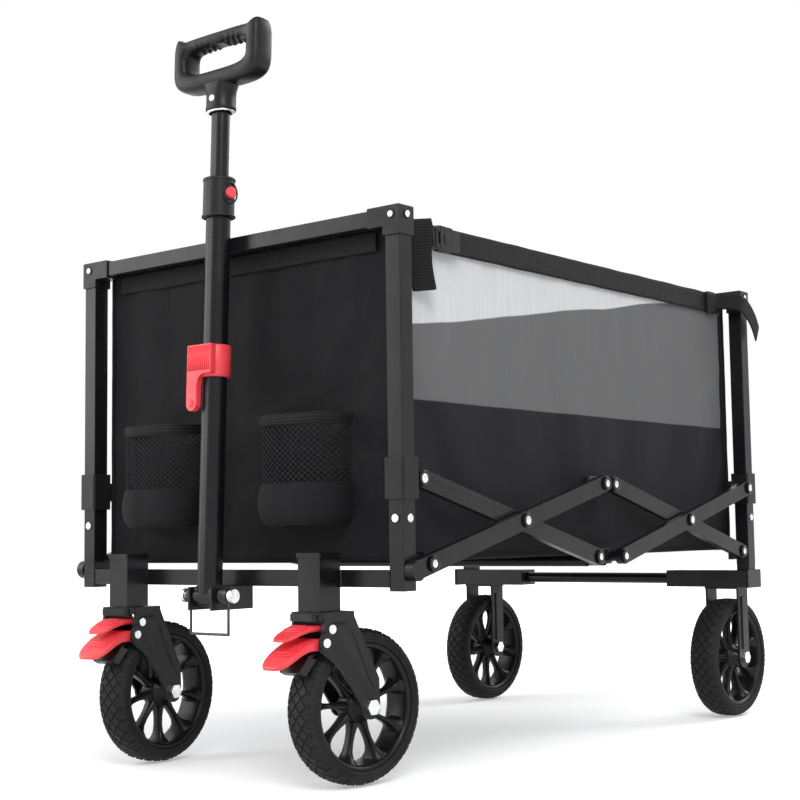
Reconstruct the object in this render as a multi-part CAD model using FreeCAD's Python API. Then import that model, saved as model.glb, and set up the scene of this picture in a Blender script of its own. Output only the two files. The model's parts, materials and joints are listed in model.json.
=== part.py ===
import FreeCAD, Part
import math
import os
from FreeCAD import Vector

# Folding camp wagon. Millimetres, +Z up, +Y towards the rear, +X the wagon's right-hand side.
# The origin is on the ground, at the middle of the whole object's box.
os.makedirs("parts", exist_ok=True)

# ---- overall frame -------------------------------------------------------------------------
frame_width = 520.0          # over the outer faces of the posts
frame_length = 800.0         # over the front and rear faces of the posts
frame_height = 618.0         # ground to the top of the end rails
post_bottom = 210.0          # ground to the foot of the posts
tube_side = 20.0             # square tube of posts and rails
tube_wall = 1.5
crossbar_side = 18.0
crossbar_lift = 4.0          # crossbar above the foot of the posts
run_fit = 0.06               # radial clearance of a pin in its hole
soft_gap = 0.3               # seat gap beside fabric and moving sleeves

# ---- corner caps ---------------------------------------------------------------------------
cap_wall = 2.0
cap_drop = 32.0
cap_reach = 44.0

# ---- side scissors -------------------------------------------------------------------------
pin_height = 238.0           # lower pins above the ground
slider_height = 328.0        # slider pins above the ground, wagon open
pin_behind = 15.0            # pins behind the back face of the post
mid_spacing = 40.0           # between the two pins of a middle joint
cross_tube_radius = 7.0
bar_height = 20.0
bar_thick = 9.0
bar_wall = 1.5
layer_gap = 3.0              # between the inner and the outer layer of bars
pin_radius = 4.0
rivet_radius = 8.0
rivet_head = 2.5
plate_thick = 8.0            # brackets that carry the pins
plug_radius = 11.0           # round end plug on the long foot of the front lower bars
plug_reach = 26.0

# ---- sliders and their stops ---------------------------------------------------------------
slider_tall = 44.0
slider_wall = 3.5
stop_height = 286.0
stop_radius = 4.5
stop_head = 2.0

# ---- wheels --------------------------------------------------------------------------------
wheel_diameter = 170.0
tyre_width = 42.0
tyre_depth = 17.0            # radial thickness of the tyre
rim_width = 36.0
rim_wall = 4.0
hub_radius = 15.0
hub_width = 44.0
spokes = 9
spoke_width = 9.0
spoke_thick = 12.0
axle_radius = 5.0
fork_wall = 3.0
fork_gap = 2.5               # between hub and fork leg

# ---- front casters -------------------------------------------------------------------------
caster_spread = 155.0        # swivel axis from the centre plane
caster_trail = 50.0
caster_turn = 6.0            # degrees that each caster stands turned out
socket_side = 32.0
socket_top = 251.0
socket_bottom = 189.0
stem_radius = 8.0
crown_thick = 8.0
crown_gap = 0.5
lock_ahead = 14.0            # lock pedal's bolt ahead of the swivel axis
lock_height = 157.0
free_ahead = 6.0             # release pedal's bolt ahead of the swivel axis
free_height = 171.0
pedal_width = 46.0

# ---- rear wheels ---------------------------------------------------------------------------
rear_wheel_x = 220.0
rear_box_long = 130.0
rear_box_deep = 38.0
rear_box_tall = 24.0

# ---- handle --------------------------------------------------------------------------------
handle_pivot_out = 30.0      # pivot ahead of the front face of the posts
handle_pivot_z = 204.0
handle_lean = 2.0            # degrees that the stowed handle leans back
handle_wide = 30.0
handle_deep = 25.0
handle_wall = 1.8
lower_tube_long = 446.0      # pivot to the top of the lower tube
upper_wide = 23.0
upper_deep = 18.0
upper_show = 122.0           # upper tube above the lower one, stowed
upper_hidden = 330.0
collar_tall = 46.0
collar_wall = 4.0
clip_low = 222.0             # red clip's foot above the pivot, along the tube
clip_tall = 62.0
clip_wall = 4.0
grip_wide = 142.0
grip_tall = 72.0
grip_deep = 30.0
grip_hole_wide = 100.0
grip_hole_tall = 32.0
button_radius = 7.0
button_out = 3.5
button_in = 2.2              # of the button inside its pocket, at rest

# ---- fabric basket -------------------------------------------------------------------------
basket_gap = 10.0            # side panels inside the pin plates
basket_inset = 26.0          # front panel's outer face behind the end face of the posts
cloth_thick = 4.0
floor_low = 240.0
floor_thick = 6.0
panel_low = 240.0
pocket_half = 55.0
pocket_centre = 115.0
pocket_deep = 52.0
pocket_low = 281.0
pocket_high = 402.0
pocket_wall = 3.0
side_drop = 7.0              # top edge of the side panels below the corner caps
strap_wide = 28.0
strap_thick = 1.6
buckle_y = 100.0             # buckle's middle behind the front face of the posts
buckle_long = 58.0
buckle_tall = 30.0
buckle_thick = 9.0

# ---- worked-out places ---------------------------------------------------------------------
half_w = frame_width / 2
half_l = frame_length / 2
rail_low = frame_height - tube_side
inner_layer = half_w - 10.0                       # inner face of the inner bars
outer_layer = inner_layer + bar_thick + layer_gap
plate_in = inner_layer - 1.0 - plate_thick        # inner face of the pin plates
basket_half = plate_in - basket_gap               # outer face of the side panels
pin_y = -half_l + tube_side + pin_behind          # front pins
mid_half = mid_spacing / 2
span = -pin_y - mid_half
rise = slider_height - pin_height
bar_long = math.hypot(span, rise)
bar_angle = math.degrees(math.atan2(rise, span))
slider_top_pin = frame_height - cap_drop - slider_tall / 2 - 2.0
fold_angle = math.degrees(math.asin((slider_top_pin - pin_height) / bar_long)) - bar_angle
wheel_r = wheel_diameter / 2
rim_r = wheel_r - tyre_depth
leg_in = hub_width / 2 + fork_gap / 2             # fork leg's inner face from the wheel's middle
rear_wheel_y = half_l - tube_side / 2 - 6.0
caster_y = -half_l - socket_side / 2
handle_y = -half_l - handle_pivot_out
panel_y = -half_l + basket_inset                  # front panel's outer face
cloth_top = rail_low - soft_gap
side_top = frame_height - side_drop

X = Vector(1, 0, 0)
Y = Vector(0, 1, 0)
Z = Vector(0, 0, 1)


def box(x0, x1, y0, y1, z0, z1):
    return Part.makeBox(x1 - x0, y1 - y0, z1 - z0, Vector(x0, y0, z0))


def rod(radius, start, end):
    a = Vector(*start)
    b = Vector(*end)
    return Part.makeCylinder(radius, (b - a).Length, a, b - a)


def mirror_x(shape):
    return shape.mirror(Vector(0, 0, 0), X)


def mirror_y(shape):
    return shape.mirror(Vector(0, 0, 0), Y)


def turned(shape, centre, axis, degrees):
    copy = shape.copy()
    copy.rotate(Vector(*centre), axis, degrees)
    return copy


def moved(shape, x, y, z):
    copy = shape.copy()
    copy.translate(Vector(x, y, z))
    return copy


def pair(shape):
    """The piece and its mirror image on the other side of the wagon."""
    return [shape, mirror_x(shape)]


def filleted(shape, radius, along=None):
    """Round the straight edges that run along an axis, or every edge."""
    edges = []
    for edge in shape.Edges:
        if along is None:
            edges.append(edge)
            continue
        if edge.Curve.TypeId != "Part::GeomLine":
            continue
        way = edge.tangentAt(edge.FirstParameter)
        if abs(abs(way.dot(along)) - 1.0) < 1e-6:
            edges.append(edge)
    return shape.makeFillet(radius, edges)


def stadium(long, tall, deep):
    """Round-ended bar from the origin along +Y, centred on its two end circles, deep along +X."""
    r = tall / 2
    body = box(0, deep, 0, long, -r, r)
    for y in (0, long):
        body = body.fuse(rod(r, (0, y, 0), (deep, y, 0)))
    return body.removeSplitter()


def oval_prism(wide, deep, low, high):
    """Flattened-oval tube section, wide along X and deep along Y, from low to high."""
    r = deep / 2
    c = wide / 2 - r
    body = box(-c, c, -r, r, low, high)
    for x in (-c, c):
        body = body.fuse(rod(r, (x, 0, low), (x, 0, high)))
    return body.removeSplitter()


# ---- end frames ----------------------------------------------------------------------------
def square_tube(x0, x1, y0, y1, z0, z1, wall, along):
    """A hollow square tube, open at both ends."""
    gap = {"x": (0, wall, wall), "z": (wall, wall, 0)}[along]
    hollow = box(x0 + gap[0], x1 - gap[0], y0 + gap[1], y1 - gap[1], z0 + gap[2], z1 - gap[2])
    return box(x0, x1, y0, y1, z0, z1).cut(hollow)


def front_posts():
    post = square_tube(half_w - tube_side, half_w, -half_l, -half_l + tube_side,
                       post_bottom, frame_height - cap_wall, tube_wall, "z")
    return pair(post)


def front_top_rail():
    end = half_w - tube_side
    return [square_tube(-end, end, -half_l, -half_l + tube_side, rail_low, frame_height - cap_wall,
                        tube_wall, "x")]


def front_crossbar():
    end = half_w - tube_side
    y0 = -half_l
    z0 = post_bottom + crossbar_lift
    return [square_tube(-end, end, y0, y0 + crossbar_side, z0, z0 + crossbar_side, tube_wall, "x")]


def front_corner_caps():
    """Moulded elbow over the top of a post and the end of the rail, with a loop for the basket."""
    w = cap_wall
    y0 = -half_l
    y1 = -half_l + tube_side
    top = frame_height
    arm = box(half_w - cap_reach, half_w + w, y0 - w, y1 + w, rail_low - w, top)
    leg = box(half_w - tube_side - w, half_w + w, y0 - w, y1 + w, top - cap_drop, top)
    cap = filleted(arm.fuse(leg).removeSplitter(), 1.5, Y)
    post_space = box(half_w - tube_side, half_w, y0, y1, top - cap_drop - 1, top - w)
    rail_space = box(half_w - cap_reach - 1, half_w - tube_side, y0, y1, rail_low, top - w)
    cap = cap.cut(post_space).cut(rail_space)
    middle = half_w - tube_side / 2
    head_z = top - tube_side / 2
    front_head = rod(stop_radius, (middle, y0 - w - 1.2, head_z), (middle, y0 - w, head_z))
    side_head = rod(stop_radius, (half_w + w, y0 + tube_side / 2, head_z),
                    (half_w + w + 1.2, y0 + tube_side / 2, head_z))
    return pair(cap.fuse(front_head).fuse(side_head))


def caster_sockets():
    """Square sleeve welded to the crossbar, with a moulded cap and the swivel's bore."""
    half = socket_side / 2
    post = box(-half, half, -half, half, socket_bottom, socket_top - 5)
    cap = filleted(box(-half - 1.5, half + 1.5, -half - 1.5, half, socket_top - 5, socket_top), 1.5, Z)
    bore = rod(stem_radius + run_fit, (0, 0, socket_bottom - 1), (0, 0, socket_top - 10))
    nut = rod(5.0, (half, 0, socket_top - 22), (half + 3, 0, socket_top - 22))
    post = post.fuse(cap).fuse(nut).removeSplitter().cut(bore)
    return pair(moved(post, caster_spread, caster_y, 0))


def frame_rivets():
    """Silver heads on the front posts, under the sliders, and the bolts of the lower pins."""
    x = half_w - tube_side / 2
    y = -half_l + tube_side / 2
    front = rod(stop_radius, (x, -half_l - stop_head, stop_height), (x, -half_l, stop_height))
    side = rod(stop_radius, (half_w, y, stop_height), (half_w + stop_head, y, stop_height))
    return pair(front) + pair(side)


def pin_with_heads(y, z, start, end):
    """A pin across the bars with a broad domed head outside."""
    shank = rod(pin_radius, (start, y, z), (end, y, z))
    head = rod(rivet_radius, (end, y, z), (end + rivet_head, y, z))
    edge = [e for e in head.Edges if e.BoundBox.XMin > end + rivet_head - 0.01]
    head = head.makeFillet(rivet_head * 0.6, edge)
    return shank.fuse(head)


def pivot_bracket():
    """Bracket behind the foot of a front post, with the lower pin and its spacer."""
    reach = pin_y + bar_height / 2 + 2
    plate = box(plate_in, plate_in + plate_thick, -half_l + tube_side, reach,
                pin_height - 12, pin_height + 12)
    spacer = rod(9.0, (plate_in + plate_thick, pin_y, pin_height), (outer_layer - 0.5, pin_y, pin_height))
    pin = pin_with_heads(pin_y, pin_height, plate_in + 1, outer_layer + bar_thick + 0.5)
    return plate.fuse(spacer).fuse(pin).removeSplitter()


# ---- scissor bars --------------------------------------------------------------------------
def bar(holes, plug=0.0):
    """Flattened-oval tube, pinched solid at its ends, its first pin at the origin, along +Y."""
    solid = stadium(bar_long, bar_height, bar_thick)
    if plug:
        neck = box(0, bar_thick, -plug, 0, -bar_height / 2, bar_height / 2)
        disc = rod(plug_radius, (-0.4, -plug, 0), (bar_thick + 1.5, -plug, 0))
        solid = solid.fuse(neck).fuse(disc).removeSplitter()
    inner = stadium(bar_long - 60, bar_height - 2 * bar_wall, bar_thick - 2 * bar_wall)
    solid = solid.cut(moved(inner, bar_wall, 30, 0))
    for place in holes:
        solid = solid.cut(rod(pin_radius + run_fit, (-2, place, 0), (bar_thick + 3, place, 0)))
    return solid


HOLES = (0.0, bar_long / 2, bar_long)


def front_lower_bars():
    """Outer bars, from the foot of the front posts up to the middle joint."""
    piece = turned(bar(HOLES, plug_reach), (0, 0, 0), X, bar_angle)
    return pair(moved(piece, outer_layer, pin_y, pin_height))


def front_upper_bars():
    """Inner bars, from the front sliders down to the middle joint."""
    piece = turned(bar(HOLES), (0, 0, 0), X, -bar_angle)
    return pair(moved(piece, inner_layer, pin_y, slider_height))


def rear_lower_bars():
    """Inner bars, from the middle joint down to the foot of the rear posts."""
    piece = turned(bar(HOLES), (0, 0, 0), X, -bar_angle)
    return pair(moved(piece, inner_layer, mid_half, slider_height))


def rear_upper_bars():
    """Outer bars, from the middle joint up to the rear sliders."""
    piece = turned(bar(HOLES), (0, 0, 0), X, bar_angle)
    return pair(moved(piece, outer_layer, mid_half, pin_height))


def cross_rivets(y):
    """Rivets where two bars cross, a broad head on each side."""
    z = (pin_height + slider_height) / 2
    outside = outer_layer + bar_thick + 0.3
    inside = inner_layer - 0.3
    rivet = pin_with_heads(y, z, inside, outside)
    back = rod(rivet_radius - 2, (inside - 0.4, y, z), (inside, y, z))
    return pair(rivet.fuse(back).removeSplitter())


def mid_plate(z, inner_y, outer_y):
    """Plate of a middle joint with the pins of the two bars that end there."""
    r = bar_height / 2 - 0.5
    plate = moved(stadium(mid_spacing, 2 * r, plate_thick), plate_in, -mid_half, z)
    near = pin_with_heads(inner_y, z, plate_in + 1, inner_layer + bar_thick + 0.4)
    sleeve = rod(pin_radius + 2.5, (plate_in + plate_thick, outer_y, z), (outer_layer - 0.4, outer_y, z))
    far = pin_with_heads(outer_y, z, plate_in + 1, outer_layer + bar_thick + 0.4)
    return plate.fuse(near).fuse(sleeve).fuse(far).removeSplitter()


def cross_tubes():
    """Two round tubes under the floor that tie the left and right middle joints together."""
    r = cross_tube_radius
    z = floor_low - soft_gap - r
    tubes = []
    for y in (-mid_half, mid_half):
        tube = rod(r, (-plate_in, y, z), (plate_in, y, z))
        hollow = rod(r - tube_wall, (-plate_in - 1, y, z), (plate_in + 1, y, z))
        tubes.append(tube.cut(hollow))
    return tubes


def slider():
    """Sleeve on a front post with an ear behind it for the bar's pin."""
    w = slider_wall
    g = soft_gap
    low = slider_height - slider_tall / 2
    high = slider_height + slider_tall / 2
    y0 = -half_l
    y1 = -half_l + tube_side
    sleeve = box(half_w - tube_side - w, half_w + w, y0 - w, y1 + w, low, high)
    sleeve = filleted(sleeve, 3.0, Z)
    space = box(half_w - tube_side - g, half_w + g, y0 - g, y1 + g, low - 1, high + 1)
    ear = box(plate_in, plate_in + plate_thick, y1 + w - 1, pin_y, slider_height - 11, slider_height + 11)
    tip = rod(11.0, (plate_in, pin_y, slider_height), (plate_in + plate_thick, pin_y, slider_height))
    return sleeve.cut(space).fuse(ear).fuse(tip).removeSplitter()


def slider_pin(y, layer):
    pin = pin_with_heads(y, slider_height, plate_in + plate_thick, layer + bar_thick + 0.4)
    sleeve_end = layer - 0.4
    if sleeve_end > plate_in + plate_thick + 1:
        pin = pin.fuse(rod(pin_radius + 2.5, (plate_in + plate_thick, y, slider_height),
                           (sleeve_end, y, slider_height)))
    return pair(pin.removeSplitter())


# ---- rear end ------------------------------------------------------------------------------
def rear_crossbar():
    end = half_w + cap_wall - rear_box_long
    y = rear_wheel_y
    z = post_bottom - rear_box_tall / 2
    return [rod(8.0, (-end, y, z), (end, y, z)).cut(rod(6.5, (-end, y, z), (end, y, z)))]


def rear_boxes():
    """Box sections under the rear posts, each with a square end cap outboard."""
    x1 = half_w + cap_wall
    x0 = x1 - rear_box_long
    y0 = rear_wheel_y - rear_box_deep / 2
    y1 = rear_wheel_y + rear_box_deep / 2
    z0 = post_bottom - rear_box_tall
    tube = box(x0, x1, y0, y1, z0, post_bottom)
    tube = tube.cut(box(x0 + tube_wall, x1 - 10, y0 + tube_wall, y1 - tube_wall,
                        z0 + tube_wall, post_bottom - tube_wall))
    cap = filleted(box(x1, x1 + 4, y0 - 1, y1 + 1, z0 - 1, post_bottom + 1), 2.0, X)
    return pair(tube.fuse(cap).removeSplitter())


def rear_forks():
    """Stamped fork under each box section, straight down to the axle."""
    top = post_bottom - rear_box_tall
    y = rear_wheel_y
    plate = box(-leg_in - fork_wall, leg_in + fork_wall, y - 17, y + 17, top - fork_wall, top)
    fork = plate
    for x in (-leg_in - fork_wall, leg_in):
        leg = box(x, x + fork_wall, y - 15, y + 15, wheel_r, top)
        foot = rod(15.0, (x, y, wheel_r), (x + fork_wall, y, wheel_r))
        rib_x = x - 2 if x < 0 else x + fork_wall
        rib = box(rib_x, rib_x + 2, y - 6, y + 6, wheel_r + 12, top - 14)
        fork = fork.fuse(leg).fuse(foot).fuse(rib)
    fork = fork.removeSplitter()
    span_x = leg_in + fork_wall + 5
    fork = fork.cut(rod(axle_radius, (-span_x, y, wheel_r), (span_x, y, wheel_r)))
    return pair(moved(fork, rear_wheel_x, 0, 0))


def axle_bolt(y):
    """Axle across a fork at x = 0 with a hexagon head and nut."""
    half = leg_in + fork_wall
    shank = rod(axle_radius, (-half, y, wheel_r), (half, y, wheel_r))
    for x0 in (-half - 5, half):
        points = []
        for i in range(7):
            a = math.radians(60 * i)
            points.append(Vector(x0, y + 9 * math.cos(a), wheel_r + 9 * math.sin(a)))
        shank = shank.fuse(Part.Face(Part.makePolygon(points)).extrude(Vector(5, 0, 0)))
    return shank


# ---- wheels --------------------------------------------------------------------------------
def tyre():
    """Tyre about the X axis at the origin, with rounded shoulders."""
    half = tyre_width / 2
    shoulder = 7.0
    lip = rim_width / 2
    pts = [Vector(-lip, rim_r, 0), Vector(-half, rim_r + 5, 0), Vector(-half, wheel_r - shoulder, 0)]
    mid_left = Vector(-half + shoulder * 0.3, wheel_r - shoulder * 0.3, 0)
    start_tread = Vector(-half + shoulder, wheel_r, 0)
    end_tread = Vector(half - shoulder, wheel_r, 0)
    mid_right = Vector(half - shoulder * 0.3, wheel_r - shoulder * 0.3, 0)
    edges = [
        Part.makeLine(pts[0], pts[1]),
        Part.makeLine(pts[1], pts[2]),
        Part.Arc(pts[2], mid_left, start_tread).toShape(),
        Part.makeLine(start_tread, end_tread),
        Part.Arc(end_tread, mid_right, Vector(half, wheel_r - shoulder, 0)).toShape(),
        Part.makeLine(Vector(half, wheel_r - shoulder, 0), Vector(half, rim_r + 5, 0)),
        Part.makeLine(Vector(half, rim_r + 5, 0), Vector(lip, rim_r, 0)),
        Part.makeLine(Vector(lip, rim_r, 0), pts[0]),
    ]
    return Part.Face(Part.Wire(edges)).revolve(Vector(0, 0, 0), X, 360)


def rim():
    """Rim about the X axis at the origin: barrel, hub and flared spokes."""
    half = rim_width / 2
    barrel = rod(rim_r, (-half, 0, 0), (half, 0, 0))
    barrel = barrel.cut(rod(rim_r - rim_wall, (-half - 1, 0, 0), (half + 1, 0, 0)))
    wheel = barrel.fuse(rod(hub_radius, (-hub_width / 2, 0, 0), (hub_width / 2, 0, 0)))
    for i in range(spokes):
        inner = hub_radius - 3
        outer = rim_r - rim_wall / 2
        root = spoke_width / 2
        tip = spoke_width * 0.8
        points = [Vector(-spoke_thick / 2, -root, inner), Vector(-spoke_thick / 2, root, inner),
                  Vector(-spoke_thick / 2, tip, outer), Vector(-spoke_thick / 2, -tip, outer)]
        points.append(points[0])
        spoke = Part.Face(Part.makePolygon(points)).extrude(Vector(spoke_thick, 0, 0))
        wheel = wheel.fuse(turned(spoke, (0, 0, 0), X, 360.0 * i / spokes))
    bore = rod(axle_radius + run_fit, (-hub_width, 0, 0), (hub_width, 0, 0))
    return wheel.removeSplitter().cut(bore)


# ---- casters -------------------------------------------------------------------------------
def caster_fork():
    """Caster fork about its swivel axis at x = y = 0, trailing towards +Y."""
    top = socket_bottom - crown_gap
    wide = leg_in + fork_wall
    crown = box(-wide, wide, -20, 30, top - crown_thick, top)
    crown = filleted(crown, 6.0, Z)
    fork = crown
    for x in (-wide, leg_in):
        points = [Vector(x, -20 + 6, top), Vector(x, 30 - 6, top), Vector(x, caster_trail + 12, wheel_r + 30),
                  Vector(x, caster_trail + 13, wheel_r), Vector(x, caster_trail - 13, wheel_r),
                  Vector(x, 8, wheel_r + 42), Vector(x, -22, lock_height - 8), Vector(x, -20 + 6, top)]
        leg = Part.Face(Part.makePolygon(points)).extrude(Vector(fork_wall, 0, 0))
        foot = rod(13.0, (x, caster_trail, wheel_r), (x + fork_wall, caster_trail, wheel_r))
        fork = fork.fuse(leg).fuse(foot)
    fork = fork.removeSplitter()
    for y, z, r in ((caster_trail, wheel_r, axle_radius), (-lock_ahead, lock_height, 3.0),
                    (-free_ahead, free_height, 3.0)):
        fork = fork.cut(rod(r, (-wide - 6, y, z), (wide + 6, y, z)))
    return fork.cut(rod(stem_radius, (0, 0, top - 20), (0, 0, top + 1)))


def caster_bolts():
    """Swivel stem, axle and the two pedal bolts of a caster."""
    top = socket_bottom - crown_gap
    wide = leg_in + fork_wall
    stem = rod(stem_radius, (0, 0, top - crown_thick), (0, 0, socket_top - 14))
    pieces = [stem, axle_bolt(caster_trail)]
    for y, z in ((-lock_ahead, lock_height), (-free_ahead, free_height)):
        bolt = rod(3.0, (-wide, y, z), (wide, y, z))
        for x in (-wide - 2.5, wide):
            bolt = bolt.fuse(rod(5.0, (x, y, z), (x + 2.5, y, z)))
        pieces.append(bolt)
    return pieces


def pedal(profile, bolt_y, bolt_z, wide):
    """A pedal as one profile across the caster, with a running bore for its bolt."""
    wire = Part.makePolygon([Vector(-wide / 2, y, z) for y, z in profile + profile[:1]])
    body = Part.Face(wire).extrude(Vector(wide, 0, 0))
    knuckle = rod(5.5, (-wide / 2, bolt_y, bolt_z), (wide / 2, bolt_y, bolt_z))
    body = body.fuse(knuckle).removeSplitter()
    return body.cut(rod(3.0 + run_fit, (-wide, bolt_y, bolt_z), (wide, bolt_y, bolt_z)))


def lock_pedal():
    y = -lock_ahead
    z = lock_height
    profile = [(y, z + 5), (y - 12, z + 3), (y - 52, z - 6), (y - 56, z - 16), (y - 46, z - 14),
               (y - 12, z - 7), (y - 2, z - 12), (y + 3, z - 9), (y + 5, z - 2)]
    return pedal(profile, y, z, pedal_width - 2)


def release_pedal():
    y = -free_ahead
    z = free_height
    profile = [(y, z + 5), (y - 14, z + 5), (y - 52, z + 1), (y - 56, z - 5), (y - 40, z - 4),
               (y - 14, z - 1.5), (y - 4, z - 4), (y + 4, z - 3)]
    return pedal(profile, y, z, pedal_width - 12)


def in_caster(shape, side):
    """Put a caster's piece under its socket, turned out by the same angle on both sides."""
    piece = turned(shape, (0, 0, 0), Z, -caster_turn)
    piece = moved(piece, caster_spread, caster_y, 0)
    return piece if side > 0 else mirror_x(piece)


# ---- handle --------------------------------------------------------------------------------
def lean(shape):
    """Lean a piece of the handle, drawn upright above its pivot, back to where it is stowed."""
    piece = turned(shape, (0, 0, 0), X, -handle_lean)
    return moved(piece, 0, handle_y, handle_pivot_z)


def handle_bracket():
    """Folded U bracket under the crossbar, a cheek on each side of the handle's foot."""
    low = post_bottom + crossbar_lift
    back = -half_l + tube_side - 1
    inside = handle_wide / 2 + 1.5
    web = box(-inside - 3, inside + 3, handle_y + handle_deep / 2 + 8, back, low - 3, low)
    bracket = web
    for x in (-inside - 3, inside):
        cheek = box(x, x + 3, handle_y - 15, back, low - 26, low)
        bracket = bracket.fuse(cheek)
    bracket = bracket.removeSplitter()
    return bracket.cut(rod(5.0, (-60, handle_y, handle_pivot_z), (60, handle_y, handle_pivot_z)))


def handle_bolt():
    inside = handle_wide / 2 + 1.5 + 3
    bolt = rod(5.0, (-inside - 16, handle_y, handle_pivot_z), (inside + 16, handle_y, handle_pivot_z))
    for x in (-inside - 21, inside + 16):
        bolt = bolt.fuse(rod(8.0, (x, handle_y, handle_pivot_z), (x + 5, handle_y, handle_pivot_z)))
    return [bolt.removeSplitter()]


def handle_spring():
    """Two coils on the handle's bolt, joined by a wire loop that hangs in front."""
    wire = 1.6
    start = handle_wide / 2 + 1.5 + 3 + 0.3
    turns = 4
    drop = 36.0
    y = handle_y
    z = handle_pivot_z
    spring = None
    for side in (-1, 1):
        coil = None
        for i in range(turns):
            x = side * (start + wire + i * 2 * wire * 0.95)
            ring = Part.makeTorus(5.0 + soft_gap + wire, wire, Vector(x, y, z), X)
            coil = ring if coil is None else coil.fuse(ring)
        end_x = side * (start + wire + (turns - 1) * 2 * wire * 0.95)
        top = z - 5.0 - soft_gap - wire
        leg = rod(wire, (end_x, y, top), (end_x, y, top - drop))
        coil = coil.fuse(leg).fuse(Part.makeSphere(wire, Vector(end_x, y, top - drop)))
        spring = coil if spring is None else spring.fuse(coil)
    reach = start + wire + (turns - 1) * 2 * wire * 0.95
    low = handle_pivot_z - 5.0 - soft_gap - wire - drop
    return [spring.fuse(rod(wire, (-reach, y, low), (reach, y, low)))]


def lower_tube():
    """Oval outer tube, rounded about the pivot at its foot."""
    tube = oval_prism(handle_wide, handle_deep, 0, lower_tube_long)
    foot = rod(handle_deep / 2, (-handle_wide / 2, 0, 0), (handle_wide / 2, 0, 0))
    hollow = oval_prism(handle_wide - 2 * handle_wall, handle_deep - 2 * handle_wall, 22, lower_tube_long + 1)
    tube = tube.fuse(foot).removeSplitter().cut(hollow)
    tube = tube.cut(rod(5.0 + run_fit, (-60, 0, 0), (60, 0, 0)))
    return [lean(tube)]


def handle_collar():
    """Moulded collar on top of the lower tube, with the button's pocket on its side."""
    low = lower_tube_long - 12
    high = low + collar_tall
    body = oval_prism(handle_wide + 2 * collar_wall, handle_deep + 2 * collar_wall, low, high)
    body = body.cut(oval_prism(handle_wide, handle_deep, low - 1, lower_tube_long))
    body = body.cut(oval_prism(upper_wide + 0.8, upper_deep + 0.8, low, high + 1))
    z = lower_tube_long + 15
    pocket = rod(button_radius + 0.3, (upper_wide / 2 + 2.0, 0, z), (60, 0, z))
    return [lean(body.cut(pocket))]


def collar_button():
    z = lower_tube_long + 15
    face = handle_wide / 2 + collar_wall
    return [lean(rod(button_radius, (face - button_in, 0, z), (face + button_out, 0, z)))]


def upper_tube():
    high = lower_tube_long + upper_show
    low = lower_tube_long - upper_hidden
    tube = oval_prism(upper_wide, upper_deep, low, high)
    tube = tube.cut(oval_prism(upper_wide - 3, upper_deep - 3, low - 1, high - 4))
    return [lean(tube)]


def tube_clip():
    """Red clasp round the lower tube, with a hooked lip in front."""
    low = clip_low
    high = clip_low + clip_tall
    w = clip_wall
    body = oval_prism(handle_wide + 2 * w, handle_deep + 2 * w, low, high)
    body = body.cut(oval_prism(handle_wide, handle_deep, low - 1, high + 1))
    front = -handle_deep / 2 - w
    hook = box(-handle_wide / 2 - w - 6, -4, front - 4, front + 2, low - 14, low + 26)
    wall = box(-handle_wide / 2 - w - 6, -handle_wide / 2 - w + 1, front - 4, front + 14, low - 14, low + 26)
    return [lean(body.fuse(hook).fuse(wall).removeSplitter())]


def handle_grip():
    """Closed D grip with a stem that takes the upper tube."""
    low = lower_tube_long + upper_show - 4
    ring_low = low + 26
    ring = box(-grip_wide / 2, grip_wide / 2, -grip_deep / 2, grip_deep / 2, ring_low, ring_low + grip_tall)
    ring = filleted(ring, 18.0, Y)
    mid = ring_low + grip_tall / 2 - 2
    hole = box(-grip_hole_wide / 2, grip_hole_wide / 2, -grip_deep, grip_deep,
               mid - grip_hole_tall / 2, mid + grip_hole_tall / 2)
    hole = filleted(hole, 12.0, Y)
    stem = oval_prism(upper_wide + 14, upper_deep + 12, low - 14, ring_low + 4)
    grip = ring.cut(hole).fuse(stem).removeSplitter()
    return [lean(grip.cut(oval_prism(upper_wide, upper_deep, low - 20, low + 4)))]


# ---- fabric --------------------------------------------------------------------------------
def front_panel():
    """End panel of the basket with the hem that hangs it on the rail."""
    panel = box(-basket_half, basket_half, panel_y, panel_y + cloth_thick, panel_low, cloth_top)
    rail_back = -half_l + tube_side + soft_gap
    end = half_w - cap_reach - 4
    hem = box(-end, end, rail_back, panel_y, cloth_top - 10, frame_height - cap_wall - 4)
    return [panel.fuse(hem).removeSplitter()]


def side_panels():
    y = panel_y + cloth_thick + soft_gap
    return pair(box(basket_half - cloth_thick, basket_half, y, -y, panel_low, side_top))


def floor_panel():
    x = basket_half - cloth_thick - soft_gap
    y = panel_y + cloth_thick + soft_gap
    return [box(-x, x, y, -y, floor_low, floor_low + floor_thick)]


def pocket_outline(inset):
    """Flat-backed pocket outline with rounded front corners, as a face at z = 0."""
    half = pocket_half - inset
    back = panel_y
    front = panel_y - pocket_deep + inset
    body = Part.makeBox(2 * half, back - front, 1, Vector(-half, front, 0))
    corners = [e for e in body.Edges
               if e.BoundBox.ZLength > 0.9 and abs(e.BoundBox.YMin - front) < 0.1]
    body = body.makeFillet(22.0 - inset, corners)
    return [f for f in body.Faces if abs(f.BoundBox.ZMax) < 1e-3][0]


def front_pockets():
    """Two pouches sewn to the front panel, open at the top."""
    outer = moved(pocket_outline(0).extrude(Vector(0, 0, pocket_high - pocket_low)), 0, 0, pocket_low)
    inner = pocket_outline(pocket_wall).extrude(Vector(0, 0, pocket_high - pocket_low))
    pouch = outer.cut(moved(inner, 0, 0, pocket_low + pocket_wall))
    return pair(moved(pouch, pocket_centre, 0, 0))


def side_straps():
    """Webbing along the top edge of each side panel."""
    y = panel_y + cloth_thick + soft_gap
    x = basket_half + soft_gap
    high = side_top
    return pair(box(x, x + strap_thick, y, -y, high - strap_wide, high))


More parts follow.
